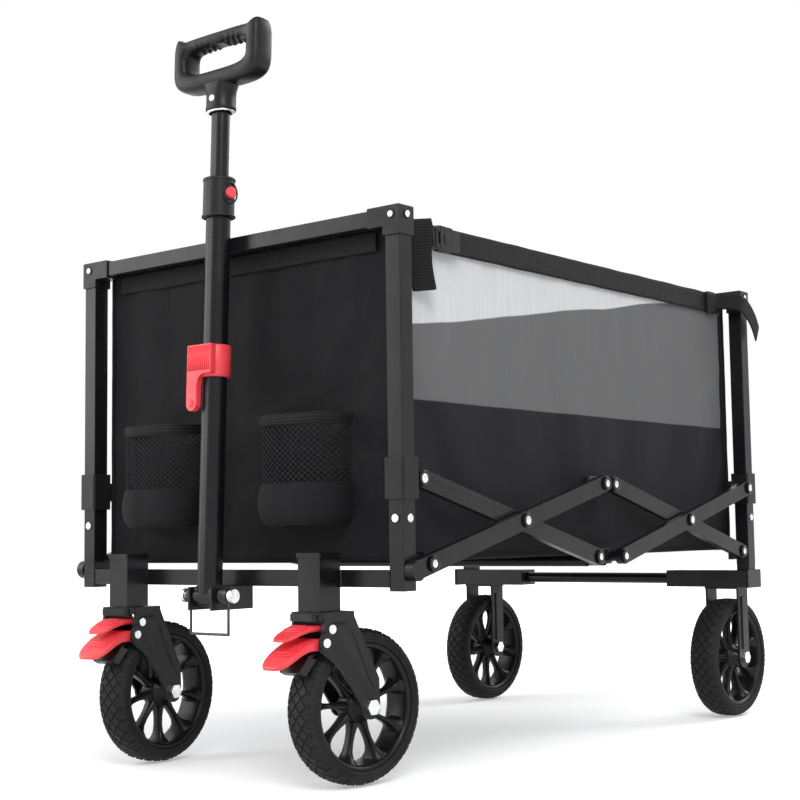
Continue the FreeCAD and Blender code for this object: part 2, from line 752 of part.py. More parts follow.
def strap_buckles():
    x = basket_half + soft_gap + strap_thick + soft_gap
    middle = -half_l + buckle_y
    z = side_top - strap_wide / 2
    body = box(x, x + buckle_thick, middle - buckle_long / 2, middle + buckle_long / 2,
               z - buckle_tall / 2, z + buckle_tall / 2)
    return pair(filleted(body, 2.0))


# ---- assembly ------------------------------------------------------------------------------
def rear(shapes):
    return [mirror_y(s) for s in shapes]


nodes = {
    "front_posts": front_posts(),
    "front_top_rail": front_top_rail(),
    "front_crossbar": front_crossbar(),
    "front_corner_caps": front_corner_caps(),
    "caster_sockets": caster_sockets(),
    "front_stop_rivets": frame_rivets(),
    "front_pivot_brackets": pair(pivot_bracket()),
    "handle_bracket": [handle_bracket()],
    "handle_pivot_bolt": handle_bolt(),
    "handle_spring": handle_spring(),
    "front_panel": front_panel(),
    "front_pockets": front_pockets(),
    "side_panels": side_panels(),
    "floor_panel": floor_panel(),
    "side_straps": side_straps(),
    "strap_buckles": strap_buckles(),
    "front_lower_bars": front_lower_bars(),
    "front_cross_rivets": cross_rivets((pin_y - mid_half) / 2),
    "front_upper_bars": front_upper_bars(),
    "front_sliders": pair(slider()),
    "front_slider_pins": slider_pin(pin_y, inner_layer),
    "mid_top_plates": pair(mid_plate(slider_height, mid_half, -mid_half)),
    "mid_cross_frame": pair(mid_plate(pin_height, -mid_half, mid_half)) + cross_tubes(),
    "rear_lower_bars": rear_lower_bars(),
    "rear_cross_rivets": cross_rivets((mid_half - pin_y) / 2),
    "rear_upper_bars": rear_upper_bars(),
    "rear_sliders": rear(pair(slider())),
    "rear_slider_pins": slider_pin(-pin_y, outer_layer),
    "rear_posts": rear(front_posts()),
    "rear_top_rail": rear(front_top_rail()),
    "rear_corner_caps": rear(front_corner_caps()),
    "rear_stop_rivets": rear(frame_rivets()),
    "rear_crossbar": rear_crossbar(),
    "rear_boxes": rear_boxes(),
    "rear_forks": rear_forks(),
    "rear_axles": pair(moved(axle_bolt(rear_wheel_y), rear_wheel_x, 0, 0)),
    "rear_panel": rear(front_panel()),
    "handle_lower_tube": lower_tube(),
    "handle_collar": handle_collar(),
    "collar_button": collar_button(),
    "handle_clip": tube_clip(),
    "handle_upper_tube": upper_tube(),
    "handle_grip": handle_grip(),
}

# Rear pivot brackets carry inner-layer bars, so their pins are shorter than the front ones.
reach = pin_y + bar_height / 2 + 2
rear_plate = box(plate_in, plate_in + plate_thick, -half_l + tube_side, reach,
                 pin_height - 12, pin_height + 12)
rear_pin = pin_with_heads(pin_y, pin_height, plate_in + 1, inner_layer + bar_thick + 0.4)
nodes["rear_pivot_brackets"] = rear(pair(rear_plate.fuse(rear_pin).removeSplitter()))

for name, side in (("left", -1), ("right", 1)):
    nodes["caster_fork_" + name] = [in_caster(caster_fork(), side)]
    nodes["caster_bolts_" + name] = [in_caster(s, side) for s in caster_bolts()]
    nodes["lock_pedal_" + name] = [in_caster(lock_pedal(), side)]
    nodes["release_pedal_" + name] = [in_caster(release_pedal(), side)]
    nodes["front_tyre_" + name] = [in_caster(moved(tyre(), 0, caster_trail, wheel_r), side)]
    nodes["front_rim_" + name] = [in_caster(moved(rim(), 0, caster_trail, wheel_r), side)]
    nodes["rear_tyre_" + name] = [moved(tyre(), side * rear_wheel_x, rear_wheel_y, wheel_r)]
    nodes["rear_rim_" + name] = [moved(rim(), side * rear_wheel_x, rear_wheel_y, wheel_r)]

# The origin is put under the middle of the whole object's box.
everything = Part.makeCompound([s for shapes in nodes.values() for s in shapes])
bounds = everything.optimalBoundingBox()
shift_y = -(bounds.YMin + bounds.YMax) / 2

for name, shapes in nodes.items():
    placed = [moved(s, 0, shift_y, 0) for s in shapes]
    shape = placed[0] if len(placed) == 1 else Part.makeCompound(placed)
    shape.exportStep("parts/" + name + ".step")
print(len(nodes), "nodes, fold", round(fold_angle, 2), "shift", round(shift_y, 3), bounds)
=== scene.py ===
import json
import math
import random

import bmesh
import bpy
from mathutils import Matrix, Vector, noise


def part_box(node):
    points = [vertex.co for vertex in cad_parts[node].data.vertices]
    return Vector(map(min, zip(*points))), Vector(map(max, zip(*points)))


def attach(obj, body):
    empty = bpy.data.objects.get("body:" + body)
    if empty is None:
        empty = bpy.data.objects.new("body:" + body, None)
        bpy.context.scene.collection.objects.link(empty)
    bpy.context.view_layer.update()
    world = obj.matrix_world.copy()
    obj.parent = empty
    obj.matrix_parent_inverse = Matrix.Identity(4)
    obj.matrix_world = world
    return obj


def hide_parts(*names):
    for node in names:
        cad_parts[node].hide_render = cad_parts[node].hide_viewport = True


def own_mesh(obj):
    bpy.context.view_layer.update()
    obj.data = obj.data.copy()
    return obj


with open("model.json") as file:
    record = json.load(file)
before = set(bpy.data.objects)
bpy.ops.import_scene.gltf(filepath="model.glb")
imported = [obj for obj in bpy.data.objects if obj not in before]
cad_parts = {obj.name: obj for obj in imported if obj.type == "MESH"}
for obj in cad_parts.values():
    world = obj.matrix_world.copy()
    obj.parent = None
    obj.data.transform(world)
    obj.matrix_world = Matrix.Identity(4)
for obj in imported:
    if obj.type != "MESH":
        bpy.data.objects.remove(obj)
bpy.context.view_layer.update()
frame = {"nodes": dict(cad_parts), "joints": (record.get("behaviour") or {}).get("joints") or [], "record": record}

MM = 0.001
NODES = frame["nodes"]
JOINTS = {joint["name"]: joint for joint in frame["joints"]}
BODY_OF = {}
for body_name, members in frame["record"]["behaviour"]["bodies"].items():
    for member in members:
        BODY_OF[member] = body_name


# ---- places taken from the frame -----------------------------------------------------------
POST_LOW, POST_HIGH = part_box("front_posts")
REAR_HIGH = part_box("rear_posts")[1]
PANEL_LOW, PANEL_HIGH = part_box("front_panel")
BACK_LOW, BACK_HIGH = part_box("rear_panel")
SIDE_LOW, SIDE_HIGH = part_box("side_panels")
FLOOR_LOW, FLOOR_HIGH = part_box("floor_panel")
POCKET_LOW, POCKET_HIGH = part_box("front_pockets")
STRAP_LOW, STRAP_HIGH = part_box("side_straps")
BUCKLE_LOW, BUCKLE_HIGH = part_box("strap_buckles")
HALF_WIDTH = POST_HIGH.x
FRONT_Y = POST_LOW.y
TUBE = HALF_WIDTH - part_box("front_top_rail")[1].x
SPOKES = 9
TREAD_PITCHES = 34
TREAD_RISE = 1.2             # of the diamonds above the carcass, in mm
SHOULDER_RISE = 0.9
SWIVEL = {side: Vector(JOINTS["swivel_" + side]["pos_m"]) for side in ("left", "right")}
FRONT_AXLE = {side: Vector(JOINTS["front_roll_" + side]["pos_m"]) for side in ("left", "right")}
REAR_AXLE = {side: Vector(JOINTS["rear_roll_" + side]["pos_m"]) for side in ("left", "right")}
HANDLE_FOOT = Vector(JOINTS["handle_swing"]["pos_m"])
HANDLE_WAY = Vector(JOINTS["handle_extend"]["axis"])
GREY_FROM = 0.416            # height where the black skirt of a side panel ends
PALE_FRONT = 0.493           # height where the pale cloth starts, at the front
PALE_RISE = 0.154            # and how fast that edge climbs towards the rear
HEM_TALL = 0.021             # knitted band under each end rail


def turn_of(side):
    """The caster's standing turn about its swivel, as a matrix from caster space."""
    axis = JOINTS["front_roll_" + side]["axis"]
    return Matrix.Translation((SWIVEL[side].x, SWIVEL[side].y, 0)) @ Matrix.Rotation(
        math.atan2(axis[1], axis[0]), 4, "Z")


def handle_space():
    """From a handle drawn upright over its pivot to the leaning handle."""
    lean = math.atan2(HANDLE_WAY.y, HANDLE_WAY.z)
    return Matrix.Translation(HANDLE_FOOT) @ Matrix.Rotation(-lean, 4, "X")


# ---- camera, light, floor ------------------------------------------------------------------
CAMERA_AT = Vector((1.2486, -1.5808, 0.2684))
CAMERA_TURN = (38.23, 5.17, -0.92)     # yaw, upward pitch and roll in degrees
CAMERA_LENS = 66.86


def make_camera():
    yaw, pitch, roll = (math.radians(angle) for angle in CAMERA_TURN)
    ahead = Vector((-math.sin(yaw) * math.cos(pitch), math.cos(yaw) * math.cos(pitch), math.sin(pitch)))
    right = Vector((math.cos(yaw), math.sin(yaw), 0))
    up = right.cross(ahead)
    side = right * math.cos(roll) + up * math.sin(roll)
    top = up * math.cos(roll) - right * math.sin(roll)
    data = bpy.data.cameras.new("camera")
    data.lens = CAMERA_LENS
    data.sensor_width = 36
    data.shift_x = -0.05
    data.clip_start = 0.05
    camera = bpy.data.objects.new("camera", data)
    bpy.context.scene.collection.objects.link(camera)
    camera.matrix_world = Matrix((
        (side.x, top.x, -ahead.x, CAMERA_AT.x),
        (side.y, top.y, -ahead.y, CAMERA_AT.y),
        (side.z, top.z, -ahead.z, CAMERA_AT.z),
        (0, 0, 0, 1)))
    bpy.context.scene.camera = camera
    bpy.context.scene.view_settings.view_transform = "Standard"


def shown_ray(tree):
    """1 for rays that show a background: seen directly, in a reflection or through glass."""
    path = tree.nodes.new("ShaderNodeLightPath")
    first = tree.nodes.new("ShaderNodeMath")
    first.operation = "MAXIMUM"
    second = tree.nodes.new("ShaderNodeMath")
    second.operation = "MAXIMUM"
    tree.links.new(path.outputs["Is Camera Ray"], first.inputs[0])
    tree.links.new(path.outputs["Is Glossy Ray"], first.inputs[1])
    tree.links.new(first.outputs[0], second.inputs[0])
    tree.links.new(path.outputs["Is Transmission Ray"], second.inputs[1])
    return second.outputs[0]


def make_world():
    world = bpy.data.worlds.new("studio")
    world.use_nodes = True
    bpy.context.scene.world = world
    tree = world.node_tree
    tree.nodes.clear()
    out = tree.nodes.new("ShaderNodeOutputWorld")
    mix = tree.nodes.new("ShaderNodeMixShader")
    room = tree.nodes.new("ShaderNodeBackground")
    room.inputs["Color"].default_value = (0.62, 0.63, 0.65, 1)
    white = tree.nodes.new("ShaderNodeBackground")
    white.inputs["Color"].default_value = (1, 1, 1, 1)
    tree.links.new(shown_ray(tree), mix.inputs[0])
    tree.links.new(room.outputs[0], mix.inputs[1])
    tree.links.new(white.outputs[0], mix.inputs[2])
    tree.links.new(mix.outputs[0], out.inputs[0])


def make_lamp(name, place, target, size, power):
    data = bpy.data.lights.new(name, "AREA")
    data.size = size
    data.energy = power
    lamp = bpy.data.objects.new(name, data)
    bpy.context.scene.collection.objects.link(lamp)
    lamp.location = place
    lamp.rotation_euler = (Vector(target) - Vector(place)).to_track_quat("-Z", "Y").to_euler()


def make_ground():
    """Pale floor that keeps its shadow near the wagon and turns white further out."""
    mesh = bpy.data.meshes.new("studio_floor")
    mesh.from_pydata([(-9, -9, 0), (9, -9, 0), (9, 9, 0), (-9, 9, 0)], [], [(0, 1, 2, 3)])
    floor = bpy.data.objects.new("studio_floor", mesh)
    bpy.context.scene.collection.objects.link(floor)
    mat = bpy.data.materials.new("studio_floor")
    mat.use_nodes = True
    tree = mat.node_tree
    shader = tree.nodes["Principled BSDF"]
    shader.inputs["Base Color"].default_value = (0.86, 0.86, 0.86, 1)
    shader.inputs["Roughness"].default_value = 0.9
    shader.inputs["Specular IOR Level"].default_value = 0.0
    shader.inputs["Emission Color"].default_value = (1, 1, 1, 1)
    place = tree.nodes.new("ShaderNodeTexCoord")
    away = tree.nodes.new("ShaderNodeVectorMath")
    away.operation = "LENGTH"
    far = tree.nodes.new("ShaderNodeMapRange")
    far.inputs["From Min"].default_value = 0.9
    far.inputs["From Max"].default_value = 3.0
    far.inputs["To Min"].default_value = 0.34
    far.inputs["To Max"].default_value = 1.0
    glow = tree.nodes.new("ShaderNodeMath")
    glow.operation = "MULTIPLY"
    tree.links.new(place.outputs["Object"], away.inputs[0])
    tree.links.new(away.outputs["Value"], far.inputs["Value"])
    tree.links.new(shown_ray(tree), glow.inputs[0])
    tree.links.new(far.outputs["Result"], glow.inputs[1])
    tree.links.new(glow.outputs[0], shader.inputs["Emission Strength"])
    mesh.materials.append(mat)


# ---- materials -----------------------------------------------------------------------------
class Finish:
    """A material in the making: its tree, its shader and short ways to add nodes."""

    def __init__(self, name, colour, roughness, specular=0.5, metallic=0.0):
        self.mat = bpy.data.materials.new(name)
        self.mat.use_nodes = True
        self.tree = self.mat.node_tree
        self.shader = self.tree.nodes["Principled BSDF"]
        self.shader.inputs["Base Color"].default_value = (*colour, 1)
        self.shader.inputs["Roughness"].default_value = roughness
        self.shader.inputs["Specular IOR Level"].default_value = specular
        self.shader.inputs["Metallic"].default_value = metallic
        self.colour = colour
        self.place = self.tree.nodes.new("ShaderNodeTexCoord")
        self.bumped = None

    def add(self, kind, **values):
        made = self.tree.nodes.new(kind)
        for name, value in values.items():
            setattr(made, name, value)
        return made

    def join(self, a, b):
        self.tree.links.new(a, b)

    def noise(self, scale, detail=3.0, coords="Object", stretch=None):
        made = self.add("ShaderNodeTexNoise")
        made.inputs["Scale"].default_value = scale
        made.inputs["Detail"].default_value = detail
        source = self.place.outputs[coords]
        if stretch:
            mapping = self.add("ShaderNodeMapping")
            mapping.inputs["Scale"].default_value = stretch
            self.join(source, mapping.inputs[0])
            source = mapping.outputs[0]
        self.join(source, made.inputs["Vector"])
        return made.outputs["Fac"]

    def spread(self, value, low, high, from_low=0.3, from_high=0.7):
        made = self.add("ShaderNodeMapRange")
        made.inputs["From Min"].default_value = from_low
        made.inputs["From Max"].default_value = from_high
        made.inputs["To Min"].default_value = low
        made.inputs["To Max"].default_value = high
        self.join(value, made.inputs["Value"])
        return made.outputs["Result"]

    def blend(self, factor, dark, pale):
        made = self.add("ShaderNodeMix", data_type="RGBA")
        for socket, value in ((made.inputs[6], dark), (made.inputs[7], pale)):
            if isinstance(value, tuple):
                socket.default_value = (*value, 1)
            else:
                self.join(value, socket)
        self.join(factor, made.inputs[0])
        return made.outputs[2]

    def bump(self, height, strength, distance):
        made = self.add("ShaderNodeBump")
        made.inputs["Strength"].default_value = strength
        made.inputs["Distance"].default_value = distance
        self.join(height, made.inputs["Height"])
        if self.bumped:
            self.join(self.bumped, made.inputs["Normal"])
        self.bumped = made.outputs["Normal"]
        self.join(self.bumped, self.shader.inputs["Normal"])

    def worn_and_highlit_edges(self, base, pale, amount=0.5):
        """Paler along raised edges, from the surface's pointiness: a painted highlight along the powder coat's
        edges, worn edges on the mouldings and the tyres.
        """
        shape = self.add("ShaderNodeNewGeometry")
        edge = self.spread(shape.outputs["Pointiness"], 0.0, amount, 0.52, 0.6)
        return self.blend(edge, base, pale)


def powder_coat():
    f = Finish("black_powder_coat", (0.006, 0.006, 0.007), 0.26, 0.24)
    tone = f.blend(f.spread(f.noise(7), 0, 1), (0.004, 0.004, 0.005), (0.008, 0.008, 0.009))
    # The pale line along the steel's edges is a painted highlight.
    f.join(f.worn_and_highlit_edges(tone, (0.03, 0.03, 0.032), 0.3), f.shader.inputs["Base Color"])
    f.join(f.spread(f.noise(30), 0.20, 0.32), f.shader.inputs["Roughness"])
    f.bump(f.noise(1400, 2), 0.10, 0.0002)
    f.bump(f.noise(45, 2), 0.05, 0.0006)
    return f.mat


def moulded_plastic(name="moulded_plastic", tone=(0.008, 0.008, 0.0085), roughness=0.36):
    f = Finish(name, tone, roughness, 0.2)
    pale = tuple(c * 1.6 + 0.001 for c in tone)
    base = f.blend(f.spread(f.noise(9), 0, 1), tone, pale)
    f.join(f.worn_and_highlit_edges(base, tuple(c * 2 + 0.012 for c in tone), 0.4), f.shader.inputs["Base Color"])
    f.join(f.spread(f.noise(60), roughness - 0.07, roughness + 0.1), f.shader.inputs["Roughness"])
    stipple = f.add("ShaderNodeTexVoronoi")
    stipple.inputs["Scale"].default_value = 1300
    f.join(f.place.outputs["Object"], stipple.inputs["Vector"])
    f.bump(stipple.outputs["Distance"], 0.16, 0.00025)
    return f.mat


def red_plastic():
    f = Finish("red_moulding", (0.83, 0.045, 0.06), 0.38, 0.45)
    tone = f.blend(f.spread(f.noise(14), 0, 1), (0.79, 0.035, 0.05), (0.90, 0.075, 0.09))
    f.join(tone, f.shader.inputs["Base Color"])
    f.shader.inputs["Subsurface Weight"].default_value = 0.06
    f.join(f.spread(f.noise(70), 0.32, 0.46), f.shader.inputs["Roughness"])
    f.bump(f.noise(900, 2), 0.10, 0.0002)
    return f.mat


def bright_steel():
    f = Finish("zinc_plated_steel", (0.74, 0.74, 0.75), 0.28, 0.5, 1.0)
    tone = f.blend(f.spread(f.noise(120), 0, 1), (0.62, 0.62, 0.63), (0.86, 0.86, 0.87))
    f.join(tone, f.shader.inputs["Base Color"])
    f.join(f.spread(f.noise(400, 4), 0.18, 0.42), f.shader.inputs["Roughness"])
    f.bump(f.noise(1800, 2), 0.12, 0.0002)
    return f.mat


def spring_wire():
    f = Finish("oiled_spring_wire", (0.045, 0.045, 0.048), 0.3, 0.5, 0.8)
    tone = f.blend(f.spread(f.noise(200), 0, 1), (0.03, 0.03, 0.032), (0.09, 0.09, 0.095))
    f.join(tone, f.shader.inputs["Base Color"])
    f.bump(f.noise(900, 3), 0.2, 0.0002)
    return f.mat


def tyre_rubber():
    f = Finish("tyre_rubber", (0.010, 0.010, 0.0105), 0.62, 0.15)
    tone = f.blend(f.spread(f.noise(18, 4), 0, 1), (0.008, 0.008, 0.0085), (0.016, 0.016, 0.017))
    f.join(f.worn_and_highlit_edges(tone, (0.03, 0.03, 0.031), 0.4), f.shader.inputs["Base Color"])
    f.join(f.spread(f.noise(90), 0.52, 0.74), f.shader.inputs["Roughness"])
    f.bump(f.noise(700, 4), 0.25, 0.0003)
    return f.mat


def weave_height(f, pitch, coords="UV"):
    """Height of a plain weave whose threads are one pitch apart."""
    lines = []
    for way in ("X", "Y"):
        wave = f.add("ShaderNodeTexWave", bands_direction=way)
        wave.inputs["Scale"].default_value = math.pi / (20 * pitch) * 2
        wave.inputs["Distortion"].default_value = 0.4
        wave.inputs["Detail"].default_value = 1.0
        f.join(f.place.outputs[coords], wave.inputs["Vector"])
        lines.append(wave.outputs["Fac"])
    both = f.add("ShaderNodeMath", operation="MULTIPLY")
    f.join(lines[0], both.inputs[0])
    f.join(lines[1], both.inputs[1])
    return both.outputs[0]


def oxford_cloth():
    f = Finish("black_oxford_cloth", (0.008, 0.008, 0.009), 0.72, 0.07)
    weave = weave_height(f, 0.0016)
    worn = f.blend(f.spread(f.noise(9, 4, "UV"), 0, 1), (0.005, 0.005, 0.006), (0.010, 0.010, 0.011))
    threads = f.blend(f.spread(weave, 0, 1, 0.1, 0.9), worn, (0.025, 0.025, 0.026))
    f.join(threads, f.shader.inputs["Base Color"])
    f.shader.inputs["Sheen Weight"].default_value = 0.02
    f.shader.inputs["Sheen Roughness"].default_value = 0.5
    f.bump(weave, 0.35, 0.0005)
    f.bump(f.noise(60, 3, "UV"), 0.12, 0.0015)
    return f.mat


def side_cloth():
    """Cloth of the side panels: black skirt, grey field and a paler wedge above it. UV is (y, z)."""
    f = Finish("two_tone_side_cloth", (0.12, 0.12, 0.12), 0.75, 0.08)
    split = f.add("ShaderNodeSeparateXYZ")
    f.join(f.place.outputs["UV"], split.inputs[0])
    wander = f.spread(f.noise(5, 2, "UV"), -0.0025, 0.0025)
    height = f.add("ShaderNodeMath", operation="ADD")
    f.join(split.outputs[1], height.inputs[0])
    f.join(wander, height.inputs[1])
    climb = f.add("ShaderNodeMath", operation="MULTIPLY_ADD")
    climb.inputs[1].default_value = -PALE_RISE
    f.join(split.outputs[0], climb.inputs[0])
    f.join(height.outputs[0], climb.inputs[2])
    start = PALE_FRONT - PALE_RISE * PANEL_LOW.y
    is_pale = f.spread(climb.outputs[0], 0, 1, start - 0.0008, start + 0.0008)
    is_grey = f.spread(split.outputs[1], 0, 1, GREY_FROM - 0.0008, GREY_FROM + 0.0008)
    weave = weave_height(f, 0.0016)
    streaks = f.noise(1.0, 5, "UV", (160, 9, 1))
    pale = f.blend(f.spread(streaks, 0, 1), (0.54, 0.54, 0.54), (0.60, 0.60, 0.60))
    grey = f.blend(f.spread(streaks, 0, 1), (0.121, 0.121, 0.122), (0.129, 0.129, 0.130))
    black = f.blend(f.spread(weave, 0, 1), (0.012, 0.012, 0.0135), (0.022, 0.022, 0.024))
    upper = f.blend(is_pale, grey, pale)
    f.join(f.blend(is_grey, black, upper), f.shader.inputs["Base Color"])
    f.shader.inputs["Sheen Weight"].default_value = 0.02
    f.bump(weave, 0.3, 0.0004)
    f.bump(f.noise(40, 3, "UV"), 0.1, 0.0015)
    return f.mat


def webbing():
    f = Finish("ribbed_webbing", (0.008, 0.008, 0.009), 0.68, 0.08)
    ribs = f.add("ShaderNodeTexWave", bands_direction="Y")
    ribs.inputs["Scale"].default_value = 95
    ribs.inputs["Distortion"].default_value = 0.6
    f.join(f.place.outputs["UV"], ribs.inputs["Vector"])
    cross = f.add("ShaderNodeTexWave", bands_direction="X")
    cross.inputs["Scale"].default_value = 160
    f.join(f.place.outputs["UV"], cross.inputs["Vector"])
    both = f.add("ShaderNodeMath", operation="ADD")
    f.join(ribs.outputs["Fac"], both.inputs[0])
    f.join(cross.outputs["Fac"], both.inputs[1])
    tone = f.blend(f.spread(both.outputs[0], 0, 1, 0.2, 1.8), (0.005, 0.005, 0.0055), (0.024, 0.024, 0.025))
    f.join(tone, f.shader.inputs["Base Color"])
    f.shader.inputs["Sheen Weight"].default_value = 0.02
    f.bump(both.outputs[0], 0.6, 0.0006)
    return f.mat


def thread():
    f = Finish("black_thread", (0.03, 0.03, 0.032), 0.6, 0.1)
    f.bump(f.noise(1500, 2), 0.4, 0.0002)
    tone = f.blend(f.spread(f.noise(500), 0, 1), (0.018, 0.018, 0.019), (0.045, 0.045, 0.047))
    f.join(tone, f.shader.inputs["Base Color"])
    return f.mat


def net_cord():
    f = Finish("mesh_net", (0.008, 0.008, 0.009), 0.6, 0.1)
    tone = f.blend(f.spread(f.noise(300), 0, 1), (0.009, 0.009, 0.01), (0.03, 0.03, 0.032))
    f.join(tone, f.shader.inputs["Base Color"])
    f.bump(f.noise(1500, 2), 0.3, 0.0002)
    return f.mat


STEEL = powder_coat()
PLASTIC = moulded_plastic()
RIM_PLASTIC = moulded_plastic("rim_plastic", (0.006, 0.006, 0.0065), 0.3)
RED = red_plastic()
SILVER = bright_steel()
WIRE = spring_wire()
RUBBER = tyre_rubber()
CLOTH = oxford_cloth()
SIDE_CLOTH = side_cloth()
WEBBING = webbing()
THREAD = thread()
NET = net_cord()


# ---- mesh helpers --------------------------------------------------------------------------
def to_object(name, bm, material, smooth=True):
    mesh = bpy.data.meshes.new(name)
    bm.to_mesh(mesh)
    bm.free()
    mesh.materials.append(material)
    piece = bpy.data.objects.new(name, mesh)
    bpy.context.scene.collection.objects.link(piece)
    if smooth:
        mesh.polygons.foreach_set("use_smooth", [True] * len(mesh.polygons))
    return piece


def applied(piece):
    """The piece with its modifiers made part of a plain mesh."""
    graph = bpy.context.evaluated_depsgraph_get()
    mesh = bpy.data.meshes.new_from_object(piece.evaluated_get(graph))
    piece.modifiers.clear()
    piece.data = mesh
    return piece


def rounded(piece, width, segments=2, angle=40):
    bevel = piece.modifiers.new("rounded edges", "BEVEL")
    bevel.width = width
    bevel.segments = segments
    bevel.limit_method = "ANGLE"
    bevel.angle_limit = math.radians(angle)
    bevel.harden_normals = False
    piece = applied(piece)
    piece.data.shade_smooth()
    flat = piece.modifiers.new("even shading", "WEIGHTED_NORMAL")
    flat.keep_sharp = False
    return applied(piece)


def softened(node, width, material, segments=2, name=None):
    """A copy of a CAD piece with its sharp edges broken, which stands for it."""
    bm = bmesh.new()
    bm.from_mesh(NODES[node].data)
    bmesh.ops.remove_doubles(bm, verts=bm.verts, dist=1e-6)
    bmesh.ops.dissolve_limit(bm, angle_limit=math.radians(0.6), verts=bm.verts, edges=bm.edges)
    piece = to_object(name or node + "_finished", bm, material, smooth=True)
    piece = rounded(piece, width, segments)
    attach(piece, BODY_OF[node])
    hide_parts(node)
    return piece


def place(piece, body, matrix=None, replaces=(), slot=None):
    """Put a finished mesh where it belongs and let it ride on its body."""
    if matrix is not None:
        piece.data.transform(matrix)
    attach(piece, body)
    if replaces:
        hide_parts(*replaces)
    return piece


def lathe(bm, profile, steps=96, axis="X"):
    """Closed profile of (along, radius) points turned about the X axis, or about Z."""
    rings = []
    for i in range(steps):
        a = 2 * math.pi * i / steps
        ring = []
        for along, radius in profile:
            if axis == "X":
                ring.append(bm.verts.new((along, radius * math.cos(a), radius * math.sin(a))))
            else:
                ring.append(bm.verts.new((radius * math.cos(a), radius * math.sin(a), along)))
        rings.append(ring)
    count = len(profile)
    for i in range(steps):
        here, there = rings[i], rings[(i + 1) % steps]
        for k in range(count):
            bm.faces.new((here[k], here[(k + 1) % count], there[(k + 1) % count], there[k]))
    bmesh.ops.recalc_face_normals(bm, faces=bm.faces)


def loft(bm, sections, closed_ends=True):
    """Skin over rings of points that all have the same count."""
    rings = [[bm.verts.new(p) for p in section] for section in sections]
    count = len(rings[0])
    for a, b in zip(rings, rings[1:]):
        for k in range(count):
            bm.faces.new((a[k], a[(k + 1) % count], b[(k + 1) % count], b[k]))
    if closed_ends:
        bm.faces.new(rings[0])
        bm.faces.new(rings[-1])
    bmesh.ops.recalc_face_normals(bm, faces=bm.faces)


def slab(bm, outline, depth_from, depth_to, plane="YZ"):
    """An outline pulled straight along X, or along Y for plane XZ, or along Z for plane XY."""
    def at(point, depth):
        if plane == "YZ":
            return (depth, point[0], point[1])
        if plane == "XZ":
            return (point[0], depth, point[1])
        return (point[0], point[1], depth)
    near = [bm.verts.new(at(p, depth_from)) for p in outline]
    far = [bm.verts.new(at(p, depth_to)) for p in outline]
    bm.faces.new(near)
    bm.faces.new(far)
    for k in range(len(outline)):
        n = (k + 1) % len(outline)
        bm.faces.new((near[k], near[n], far[n], far[k]))
    bmesh.ops.recalc_face_normals(bm, faces=bm.faces)


def smooth_line(points, steps=6, closed=True):
    """Catmull-Rom curve through a few points."""
    made = []
    count = len(points)
    last = count if closed else count - 1
    for i in range(last):
        p = [Vector(points[(i + k) % count]) if closed else
             Vector(points[min(max(i + k, 0), count - 1)]) for k in (-1, 0, 1, 2)]
        for s in range(steps):
            t = s / steps
            bend = 2 * p[0] - 5 * p[1] + 4 * p[2] - p[3]
            twist = 3 * p[1] - p[0] - 3 * p[2] + p[3]
            made.append(0.5 * ((2 * p[1]) + (p[2] - p[0]) * t + bend * t * t + twist * t ** 3))
    if not closed:
        made.append(Vector(points[-1]))
    return made


def arc(cx, cy, radius, start, end, steps=8):
    turn = [math.radians(start + (end - start) * i / steps) for i in range(steps + 1)]
    return [(cx + radius * math.cos(a), cy + radius * math.sin(a)) for a in turn]


def rounded_box_outline(x0, x1, y0, y1, r, steps=6):
    return (arc(x1 - r, y1 - r, r, 0, 90, steps) + arc(x0 + r, y1 - r, r, 90, 180, steps)
            + arc(x0 + r, y0 + r, r, 180, 270, steps) + arc(x1 - r, y0 + r, r, 270, 360, steps))


def pipe(bm, points, radius, sides=10):
    """Round tube along a line of points."""
    points = [Vector(p) for p in points]
    sections = []
    normal = None
    for i, p in enumerate(points):
        way = (points[min(i + 1, len(points) - 1)] - points[max(i - 1, 0)]).normalized()
        if normal is None:
            normal = way.orthogonal().normalized()
        normal = (normal - way * normal.dot(way)).normalized()
        other = way.cross(normal)
        sections.append([p + radius * (math.cos(2 * math.pi * k / sides) * normal
                                       + math.sin(2 * math.pi * k / sides) * other) for k in range(sides)])
    loft(bm, sections)


# ---- Geometry Nodes: repeats ---------------------------------------------------------------
def new_tree(name, inputs):
    tree = bpy.data.node_groups.new(name, "GeometryNodeTree")
    tree.interface.new_socket("Geometry", in_out="INPUT", socket_type="NodeSocketGeometry")
    for label, kind in inputs:
        tree.interface.new_socket(label, in_out="INPUT", socket_type=kind)
    tree.interface.new_socket("Geometry", in_out="OUTPUT", socket_type="NodeSocketGeometry")
    return tree, tree.nodes.new("NodeGroupInput"), tree.nodes.new("NodeGroupOutput")


def finish_tree(tree, geometry, material_socket, out):
    real = tree.nodes.new("GeometryNodeRealizeInstances")
    paint = tree.nodes.new("GeometryNodeSetMaterial")
    tree.links.new(geometry, real.inputs[0])
    tree.links.new(real.outputs[0], paint.inputs["Geometry"])
    tree.links.new(material_socket, paint.inputs["Material"])
    tree.links.new(paint.outputs[0], out.inputs[0])


